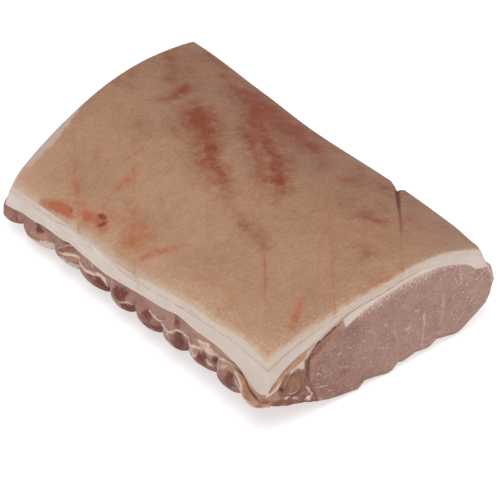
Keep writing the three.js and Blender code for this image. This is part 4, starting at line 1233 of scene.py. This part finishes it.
def eye_lean(look):
    """Raw loin muscle cut across its fibres: matt mauve with a fine grain of fibre bundles, pale specks and
    veins of marbling, and a fringe of short streaks where fat runs into its upper edge."""
    material, tree, place = new_material("raw_loin_eye")
    down = add(tree, "Mapping", {"Vector": place, "Rotation": (0.3, 0, 0), "Scale": (1, 1, 0.45)})
    broad, grain, fibres, specks, clusters, fringe, crumbs = (
        add(tree, "TexNoise", {"Vector": where, "Scale": 1000 / size, "Detail": detail, "Roughness": rough})
        for where, size, detail, rough in (
            (place, 20, 3, 0.5), (place, 1.3, 3, 0.7), (place, 4, 3, 0.6), (place, 1.3, 1, 0.5),
            (place, 14, 1, 0.5), (down, 1.1, 4, 0.7), (place, 0.8, 2, 0.5),
        )
    )
    bundles = add(tree, "TexVoronoi", {"Vector": place, "Scale": 1000 / 2.2}, feature="DISTANCE_TO_EDGE")
    x, y = (add(tree, "SeparateXYZ", (place,), out=axis) for axis in "XY")
    tone, dark, under, fringed, sheath, height = (
        add(tree, "Attribute", attribute_name=field, out="Fac")
        for field in ("tone", "eye_dark", "under_fat", "fringe", "sheath", "over_table")
    )

    # The mauve of the meat, its web of fibre bundles and its darker places.
    tone = wavered(
        tree, add(tree, "Math", (tone, 0.34), operation="MULTIPLY"), (broad, 0.3, 0.7, 0, 0.4),
        (grain, 0.3, 0.7, -0.2, 0.48), (fibres, 0.3, 0.7, -0.1, 0.2),
    )
    web = add(tree, "MapRange", (bundles, 0.0, 0.12, 0.12, 0))
    dark = add(tree, "Math", (dark, 0.8), operation="MULTIPLY")

    # Specks of fat, thicker in some places than in others and towards the back, fewer behind the cut face.
    limit = add(tree, "MapRange", (clusters, 0.35, 0.65, 0.73, 0.63))
    nearer = add(tree, "MapRange", (y, at(1, 20), at(1, 75), 0, 0.055))
    limit = add(tree, "Math", (limit, nearer), operation="SUBTRACT")
    limit = wavered(tree, limit, (x, at(0, CUT_X - 14), at(0, CUT_X - 4), 0.04, 0))
    dots = add(tree, "Math", (specks, limit), operation="SUBTRACT")
    dots = add(tree, "MapRange", (dots, 0.0, 0.04, 0, 0.6))
    colour = look.eye_pale
    for mask, tint in (
        (tone, look.eye_deep_and_shade), (web, look.marbling), (dark, look.rib_deep_and_shade), (dots, look.marbling),
    ):
        colour = add(tree, "Mix", {0: mask, 6: colour, 7: tint}, out=2, data_type="RGBA")
    colour = broken_marks(tree, colour, ("vein", look.marbling, grain, 0.35, 0.6, 0.15, 0.85))

    # The fringe under the fat: streaks that point away from it, in crumbs.
    reach = add(tree, "MapRange", (fringe, 0.36, 0.66, 0.6, 9.5))
    reach = add(tree, "Math", (reach, fringed), operation="MULTIPLY")
    streak = add(tree, "Math", (reach, under), operation="SUBTRACT")
    streak = add(tree, "MapRange", (streak, -0.8, 4.5, 0, 0.85))
    crumbled = add(tree, "MapRange", (crumbs, 0.4, 0.56, 0.25))
    streak = add(tree, "Math", (streak, crumbled), operation="MULTIPLY")

    # Along the seam a tan ridge of sheath with pale shreds, then reddened lean, and dark red painted shade
    # in the crevice.
    sheathed = add(tree, "MapRange", (fringe, 0.35, 0.6, 0.35, 1))
    sheath = add(tree, "Math", (sheath, sheathed), operation="MULTIPLY")
    shreds = add(tree, "MapRange", (crumbs, 0.55, 0.64, 0, 0.7))
    shreds = add(tree, "Math", (shreds, sheath), operation="MULTIPLY")
    for mask, tint in ((streak, look.marbling), (sheath, look.sheath), (shreds, look.marbling)):
        colour = add(tree, "Mix", {0: mask, 6: colour, 7: tint}, out=2, data_type="RGBA")
    colour = broken_marks(
        tree, colour, ("rust", look.rust, fringe, 0.38, 0.58, 0.95 * 0.35, 0.95 * 1.5),
        ("crevice", look.crevice, fringe, 0.38, 0.58, 0.35, 1.5),
    )
    # Painted shade along the foot of the cut end, darkest where it meets the table.
    table_shade = add(tree, "MapRange", (height, 0.3, 3.0, 0.5, 0))
    colour = add(tree, "Mix", {0: table_shade, 6: colour, 7: look.eye_deep_and_shade}, out=2, data_type="RGBA")
    finish_material(tree, {
        "Base Color": colour, "Roughness": add(tree, "MapRange", (grain, 0.3, 0.7, 0.36, 0.55)), "IOR": 1.4,
        "Specular IOR Level": 0.28, "Subsurface Weight": 0.2, "Subsurface Radius": (1.0, 0.35, 0.25),
        "Subsurface Scale": 0.0018,
    }, add(tree, "Math", (grain, add(tree, "Math", (bundles, 0.8), operation="MULTIPLY"))), strength=0.35)
    return material


def rib_side_lean(look):
    """Raw rib-side lean: moist, darker mauve-red than the eye, with near-black cores in the rib fingers, pale
    membranes curling between them, and lumps of soft fat below."""
    material, tree, place = new_material("raw_rib_side_lean")
    broad, grain, curl = (
        add(tree, "TexNoise", {
            "Vector": place, "Scale": 1000 / size, "Detail": 3, "Roughness": rough, "Distortion": twist,
        })
        for size, rough, twist in ((12, 0.5, 0), (1.5, 0.7, 0), (5, 0.5, 1.2))
    )
    height = add(tree, "Attribute", attribute_name="over_table", out="Fac")
    # Painted shade: the lean darkens towards the table, on the undersides of the fingers.
    tone = add(tree, "MapRange", (height, 0.5, 16, 0.85, 0.1))
    tone = wavered(tree, tone, (broad, 0.3, 0.7, -0.2, 0.4), (grain, 0.3, 0.7, -0.12, 0.12))
    colour = add(tree, "Mix", {0: tone, 6: look.rib_pale, 7: look.rib_deep_and_shade}, out=2, data_type="RGBA")
    wear = add(tree, "MapRange", (curl, 0.35, 0.65, -0.28, 0.28))
    wear = wavered(tree, wear, (grain, 0.35, 0.65, -0.12, 0.12))
    # The crease and crevice marks are painted shade in the rib side's creases and in the seam's crevice.
    colour = worn_marks(
        tree, colour, wear, 4.0, 0.15, 0.8,
        ("core", look.rib_core_and_shade, 0.95), ("tanned", look.tanned, 0.85), ("pale_fat", look.fat_soft, 0.85),
        ("membrane", look.fat_soft, 0.85), ("dark", look.rib_deep_and_shade, 0.5), ("strip", look.strip, 1.0),
        ("wedge", look.fat_soft, 1.0), ("rust", look.rust, 0.85), ("crease", look.crevice, 0.9),
        ("crevice", look.crevice, 1.0),
    )
    finish_material(tree, {
        "Base Color": colour, "Roughness": 0.45, "IOR": 1.4, "Specular IOR Level": 0.22,
        "Subsurface Weight": 0.2, "Subsurface Radius": (1.0, 0.35, 0.25), "Subsurface Scale": 0.0018,
    }, wavered(tree, grain, (curl, 0, 1, 0, 1.5)), strength=0.4, distance=0.0008)
    return material


def dried_lean(look):
    """A strip of muscle that has dried in the air: tan-brown and leathery, ribbed lengthwise, with painted
    highlights on its lower tip and painted shade round its base where it meets the cut end."""
    material, tree, place = new_material("air_dried_lean")
    ribbed = add(tree, "Mapping", {"Vector": place, "Rotation": (0.2, 0, 0), "Scale": (1, 1, 0.45)})
    ribs, fine = (
        add(tree, "TexNoise", {"Vector": where, "Scale": 1000 / size, "Detail": detail})
        for where, size, detail in ((ribbed, 2.4, 3), (place, 0.9, 2))
    )
    tone = add(tree, "MapRange", (ribs, 0.32, 0.68))
    colour = add(tree, "Mix", {0: tone, 6: look.nodule_pale, 7: look.nodule_deep}, out=2, data_type="RGBA")
    # The low mark is a painted highlight on the lower tip.
    colour = broken_marks(tree, colour, ("low", look.fat, fine, 0.4, 0.55, 0.2, 1))
    # The edge is painted shade round the base, where the nodule meets the cut end.
    edge = add(tree, "Attribute", attribute_name="edge", out="Fac")
    edge = add(tree, "Math", (edge, 0.8), operation="MULTIPLY")
    colour = add(tree, "Mix", {0: edge, 6: colour, 7: look.rust}, out=2, data_type="RGBA")
    finish_material(tree, {
        "Base Color": colour, "Roughness": 0.45, "IOR": 1.4, "Specular IOR Level": 0.3,
        "Subsurface Weight": 0.1, "Subsurface Radius": (1.0, 0.4, 0.25), "Subsurface Scale": 0.001,
    }, ribs, distance=0.0008)
    return material


def membrane_sheet(look):
    """A loose flap of moist membrane with a thin layer of lean on it: tan, slightly glossy, with a painted
    highlight along its hem and a darker crease."""
    material, tree, place = new_material("moist_membrane")
    mottle = add(tree, "TexNoise", {"Vector": place, "Scale": 1000 / 5, "Detail": 4})
    tone = add(tree, "MapRange", (mottle, 0.3, 0.7))
    colour = add(tree, "Mix", {0: tone, 6: look.flap_pale, 7: look.flap_deep}, out=2, data_type="RGBA")
    # The lip is a painted highlight along the free hem; the crease darkens beside the rim.
    for field, far, share, tint in (("crease", 2.0, 0.75, look.rust), ("lip", 2.3, 0.95, look.fat)):
        edge = add(tree, "Attribute", attribute_name=field, out="Fac")
        mask = add(tree, "MapRange", (wavered(tree, edge, (mottle, 0, 1, -0.7, 0.7)), 0.2, far, share, 0))
        colour = add(tree, "Mix", {0: mask, 6: colour, 7: tint}, out=2, data_type="RGBA")
    finish_material(tree, {
        "Base Color": colour, "Roughness": 0.35, "IOR": 1.4, "Specular IOR Level": 0.45,
        "Subsurface Weight": 0.3, "Subsurface Radius": (1.0, 0.5, 0.3), "Subsurface Scale": 0.0015,
        "Coat Weight": 0.15, "Coat Roughness": 0.2,
    }, mottle)
    return material


def stage_paper(look):
    """Matt white backdrop paper over a light table: an even pale floor with the faintest tooth, whose own
    glow keeps the shadows on it soft."""
    material, tree, place = new_material("matt_backdrop_paper")
    white = (1, 1, 1, 1)
    tooth = add(tree, "TexNoise", {"Vector": place, "Scale": 1000 / 3, "Detail": 2})
    tooth = add(tree, "MapRange", (tooth, 0, 1, 0, 0.15))
    colour = add(tree, "Mix", {0: tooth, 6: look.paper, 7: white}, out=2, data_type="RGBA")
    finish_material(tree, {
        "Base Color": colour, "Roughness": 0.9, "Specular IOR Level": 0.1, "Emission Color": white,
        "Emission Strength": look.glow,
    })
    return material


# ---- What a user would change -------------------------------------------------------------------------


def shade(name, description, code):
    """A colour that a user can change, from its sRGB hex code."""
    return bpy.props.FloatVectorProperty(
        name=name, description=description, subtype="COLOR", size=4, min=0, max=1, default=linear(code)
    )


def amount(name, description, value, low=0.0, high=2.0):
    """A plain number that a user can change, between low and high."""
    return bpy.props.FloatProperty(
        name=name, description=description, subtype="FACTOR", default=value, min=low, max=high
    )


class PorkLoinLook(bpy.types.PropertyGroup):
    """Colours and relief of the joint's own pieces."""

    relief: amount("Relief", "How strongly the surfaces waver and wrinkle", 1.0)
    rind_pale: shade("Pale rind", "The rind where it is palest", "#ab866a")
    rind_deep: shade("Deep rind", "The rind where it is deepest", "#774e39")
    blood: shade("Blood", "Blood drawn into the rind", "#78300f")
    scorched: shade("Scorched rind", "Warm tan patches on the rind", "#9b5430")
    scab: shade("Scab", "Two small dark spots", "#6f3526")
    score: shade("Score", "The thin line of a score", "#94593b")
    slit: shade("Open slit", "Inside the open score", "#744536")
    skin_rim: shade("Skin rim", "The pale rim of the rind", "#bba692")
    facet: shade("Slanting facet", "Skin bared at the far end", "#ab978c")
    # Skin band is also the colour of the painted glints in the rind's hair streaks near its rim.
    skin_band_and_glint: shade("Skin band", "The skin's thickness, seen from the side", "#c6b5a8")
    skin_band_deep: shade("Deep skin band", "Streaks in the skin band", "#b5a193")
    # Back fat is also the colour of the painted highlights on the flap's hem and the nodule's lower tip.
    fat: shade("Back fat", "Firm white fat", "#cfc2b9")
    # Deep back fat is also the painted shade on the fat towards its corner and over the cut end.
    fat_deep_and_shade: shade("Deep back fat", "Fat where it is duller", "#c1b1a6")
    fat_line: shade("Fat line", "Thin lines and flecks in the fat", "#a5805f")
    fat_soft: shade("Soft fat", "Membranes and soft fat on the rib side", "#c6b3a6")
    marbling: shade("Marbling", "Fat inside the eye muscle", "#cdb9ae")
    eye_pale: shade("Pale eye muscle", "The eye muscle where it is palest", "#a27f72")
    # Deep eye muscle is also the painted shade along the foot of the cut end.
    eye_deep_and_shade: shade("Deep eye muscle", "The eye muscle where it is deepest", "#815a50")
    sheath: shade("Sheath", "The tan sheath along the seam", "#987054")
    # Reddened lean is also the painted shade round the dried nodule's base.
    rust: shade("Reddened lean", "Reddish-brown places beside the seam", "#8a5239")
    # Painted shade inside the seam's crevice and hollows, and in the rib side's creases.
    crevice: shade("Crevice", "Inside the seam and the hollows", "#5f332c")
    rib_pale: shade("Pale rib lean", "The rib-side lean under the fat", "#977569")
    # Deep rib lean is also the painted shade low on the rib side, under the fingers.
    rib_deep_and_shade: shade("Deep rib lean", "The rib-side lean low down", "#744138")
    # Rib core is also the painted shade deep in the open slit.
    rib_core_and_shade: shade("Rib core", "The dark core of a rib finger", "#64322c")
    tanned: shade("Tanned lean", "Lean that has dried tan", "#a17c63")
    strip: shade("Membrane strip", "The tan strip on the cut end", "#ab8465")
    nodule_pale: shade("Pale nodule", "The dried nodule's ribs", "#936d57")
    nodule_deep: shade("Deep nodule", "Between the nodule's ribs", "#77523c")
    flap_pale: shade("Pale flap", "The corner flap where it is palest", "#ae8a70")
    flap_deep: shade("Deep flap", "The corner flap where it is deepest", "#8c5f47")


class PorkLoinStage(bpy.types.PropertyGroup):
    """The floor, the light and the camera."""

    paper: shade("Floor", "Colour of the floor", "#b9b8b7")
    glow: amount("Floor glow", "How strongly the light table under the floor shines", 0.6, 0, 2)
    sky: amount("Sky", "Strength of the even light from all round", 0.68, 0, 3)
    key: bpy.props.FloatProperty(
        name="Key light", description="Power of the large soft lamp", default=11, min=0, unit="POWER"
    )
    lens: bpy.props.FloatProperty(
        name="Lens", description="Focal length in millimetres", default=134.5, min=20, unit="CAMERA"
    )
    distance: bpy.props.FloatProperty(
        name="Camera distance", description="From the camera to what it looks at", default=1.08, min=0.2,
        unit="LENGTH",
    )


# ---- One operator for each piece, and one for the stage -------------------------------------------------


class PORKLOIN_OT_fat_cap(bpy.types.Operator):
    """Make the rind and the back fat"""

    bl_idname = "porkloin.fat_cap"
    bl_label = "Rind and back fat"

    def execute(self, context):
        look = context.scene.pork_loin
        points, groups, fields, wall = fat_cap(look.relief)
        materials = [scalded_rind(look), back_fat(look)]
        make_piece("rind_and_back_fat", points, groups, "fat_cap", materials, fields, wall)
        return {"FINISHED"}


class PORKLOIN_OT_eye_muscle(bpy.types.Operator):
    """Make the eye muscle"""

    bl_idname = "porkloin.eye_muscle"
    bl_label = "Eye muscle"

    def execute(self, context):
        look = context.scene.pork_loin
        points, groups, fields = eye_muscle(look.relief)
        make_piece("eye_muscle", points, groups, "loin_eye", [eye_lean(look)], fields)
        return {"FINISHED"}


class PORKLOIN_OT_rib_side(bpy.types.Operator):
    """Make the rib-side lean with its fingers"""

    bl_idname = "porkloin.rib_side"
    bl_label = "Rib-side lean"

    def execute(self, context):
        look = context.scene.pork_loin
        points, groups, fields = rib_lean(look.relief)
        make_piece("rib_side_lean", points, groups, "rib_lean", [rib_side_lean(look)], fields)
        return {"FINISHED"}


class PORKLOIN_OT_nodule(bpy.types.Operator):
    """Make the dried nodule in the cut end"""

    bl_idname = "porkloin.nodule"
    bl_label = "Dried nodule"

    def execute(self, context):
        look = context.scene.pork_loin
        points, groups, fields = dried_nodule(look.relief)
        make_piece("dried_nodule", points, groups, "seam_nodule", [dried_lean(look)], fields)
        return {"FINISHED"}


class PORKLOIN_OT_flap(bpy.types.Operator):
    """Make the curled flap of membrane at the corner"""

    bl_idname = "porkloin.flap"
    bl_label = "Corner flap"

    def execute(self, context):
        look = context.scene.pork_loin
        points, groups, fields = corner_flap(look.relief)
        make_piece("membrane_flap", points, groups, "corner_flap", [membrane_sheet(look)], fields)
        return {"FINISHED"}


class PORKLOIN_OT_stage(bpy.types.Operator):
    """Make the floor, the light and the camera"""

    bl_idname = "porkloin.stage"
    bl_label = "Floor, light and camera"

    def execute(self, context):
        look, scene = context.scene.pork_loin_stage, context.scene
        mesh = bpy.data.meshes.new("floor")
        half, low = FLOOR_HALF, -FLOOR_DROP
        corners = [(-half, -half, low), (half, -half, low), (half, half, low), (-half, half, low)]
        mesh.from_pydata(corners, [], [(0, 1, 2, 3)])
        mesh.materials.append(stage_paper(look))
        floor = bpy.data.objects.new("floor", mesh)
        scene.collection.objects.link(floor)

        world = bpy.data.worlds.new("soft_box")
        world.use_nodes = True
        background = world.node_tree.nodes["Background"]
        background.inputs["Color"].default_value = (1, 1, 1, 1)
        background.inputs["Strength"].default_value = look.sky
        scene.world = world

        lamp = bpy.data.lights.new("key_light", "AREA")
        lamp.shape, lamp.size, lamp.energy = "DISK", KEY_SIZE, look.key
        key = bpy.data.objects.new("key_light", lamp)
        key.location = Vector(KEY_PLACE)
        key.rotation_euler = (Vector(KEY_AIM) - key.location).to_track_quat("-Z", "Y").to_euler()
        scene.collection.objects.link(key)

        azimuth, elevation = math.radians(CAMERA_AZIMUTH), math.radians(CAMERA_ELEVATION)
        level = math.cos(elevation)
        back = Vector((math.sin(azimuth) * level, -math.cos(azimuth) * level, math.sin(elevation)))
        data = bpy.data.cameras.new("camera")
        data.lens, data.sensor_width = look.lens, 36
        data.clip_start, data.clip_end = 0.02, 20
        camera = bpy.data.objects.new("camera", data)
        camera.location = Vector(CAMERA_AIM) + back * look.distance
        camera.rotation_euler = (-back).to_track_quat("-Z", "Y").to_euler()
        scene.collection.objects.link(camera)
        scene.camera = camera
        scene.view_settings.view_transform = "Standard"
        return {"FINISHED"}


class PORKLOIN_PT_panel(bpy.types.Panel):
    """Lists the joint's pieces and their colours"""

    bl_label = "Pork loin"
    bl_idname = "PORKLOIN_PT_panel"
    bl_space_type = "VIEW_3D"
    bl_region_type = "UI"
    bl_category = "Pork loin"

    def draw(self, context):
        for operator in OPERATORS:
            self.layout.operator(operator.bl_idname)
        for group in (context.scene.pork_loin, context.scene.pork_loin_stage):
            for name in group.__annotations__:
                self.layout.prop(group, name)


OPERATORS = (
    PORKLOIN_OT_fat_cap,
    PORKLOIN_OT_eye_muscle,
    PORKLOIN_OT_rib_side,
    PORKLOIN_OT_nodule,
    PORKLOIN_OT_flap,
    PORKLOIN_OT_stage,
)
CLASSES = (PorkLoinLook, PorkLoinStage, *OPERATORS, PORKLOIN_PT_panel)


def register():
    """Registers the classes, and puts the joint's and the stage's properties on the scene."""
    for item in CLASSES:
        bpy.utils.register_class(item)
    bpy.types.Scene.pork_loin = bpy.props.PointerProperty(type=PorkLoinLook)
    bpy.types.Scene.pork_loin_stage = bpy.props.PointerProperty(type=PorkLoinStage)


def unregister():
    """Takes away what register adds, in reverse."""
    del bpy.types.Scene.pork_loin_stage
    del bpy.types.Scene.pork_loin
    for item in reversed(CLASSES):
        bpy.utils.unregister_class(item)


def main():
    register()
    bpy.ops.porkloin.fat_cap()
    bpy.ops.porkloin.eye_muscle()
    bpy.ops.porkloin.rib_side()
    bpy.ops.porkloin.nodule()
    bpy.ops.porkloin.flap()
    bpy.ops.porkloin.stage()


if __name__ == "__main__":
    main()
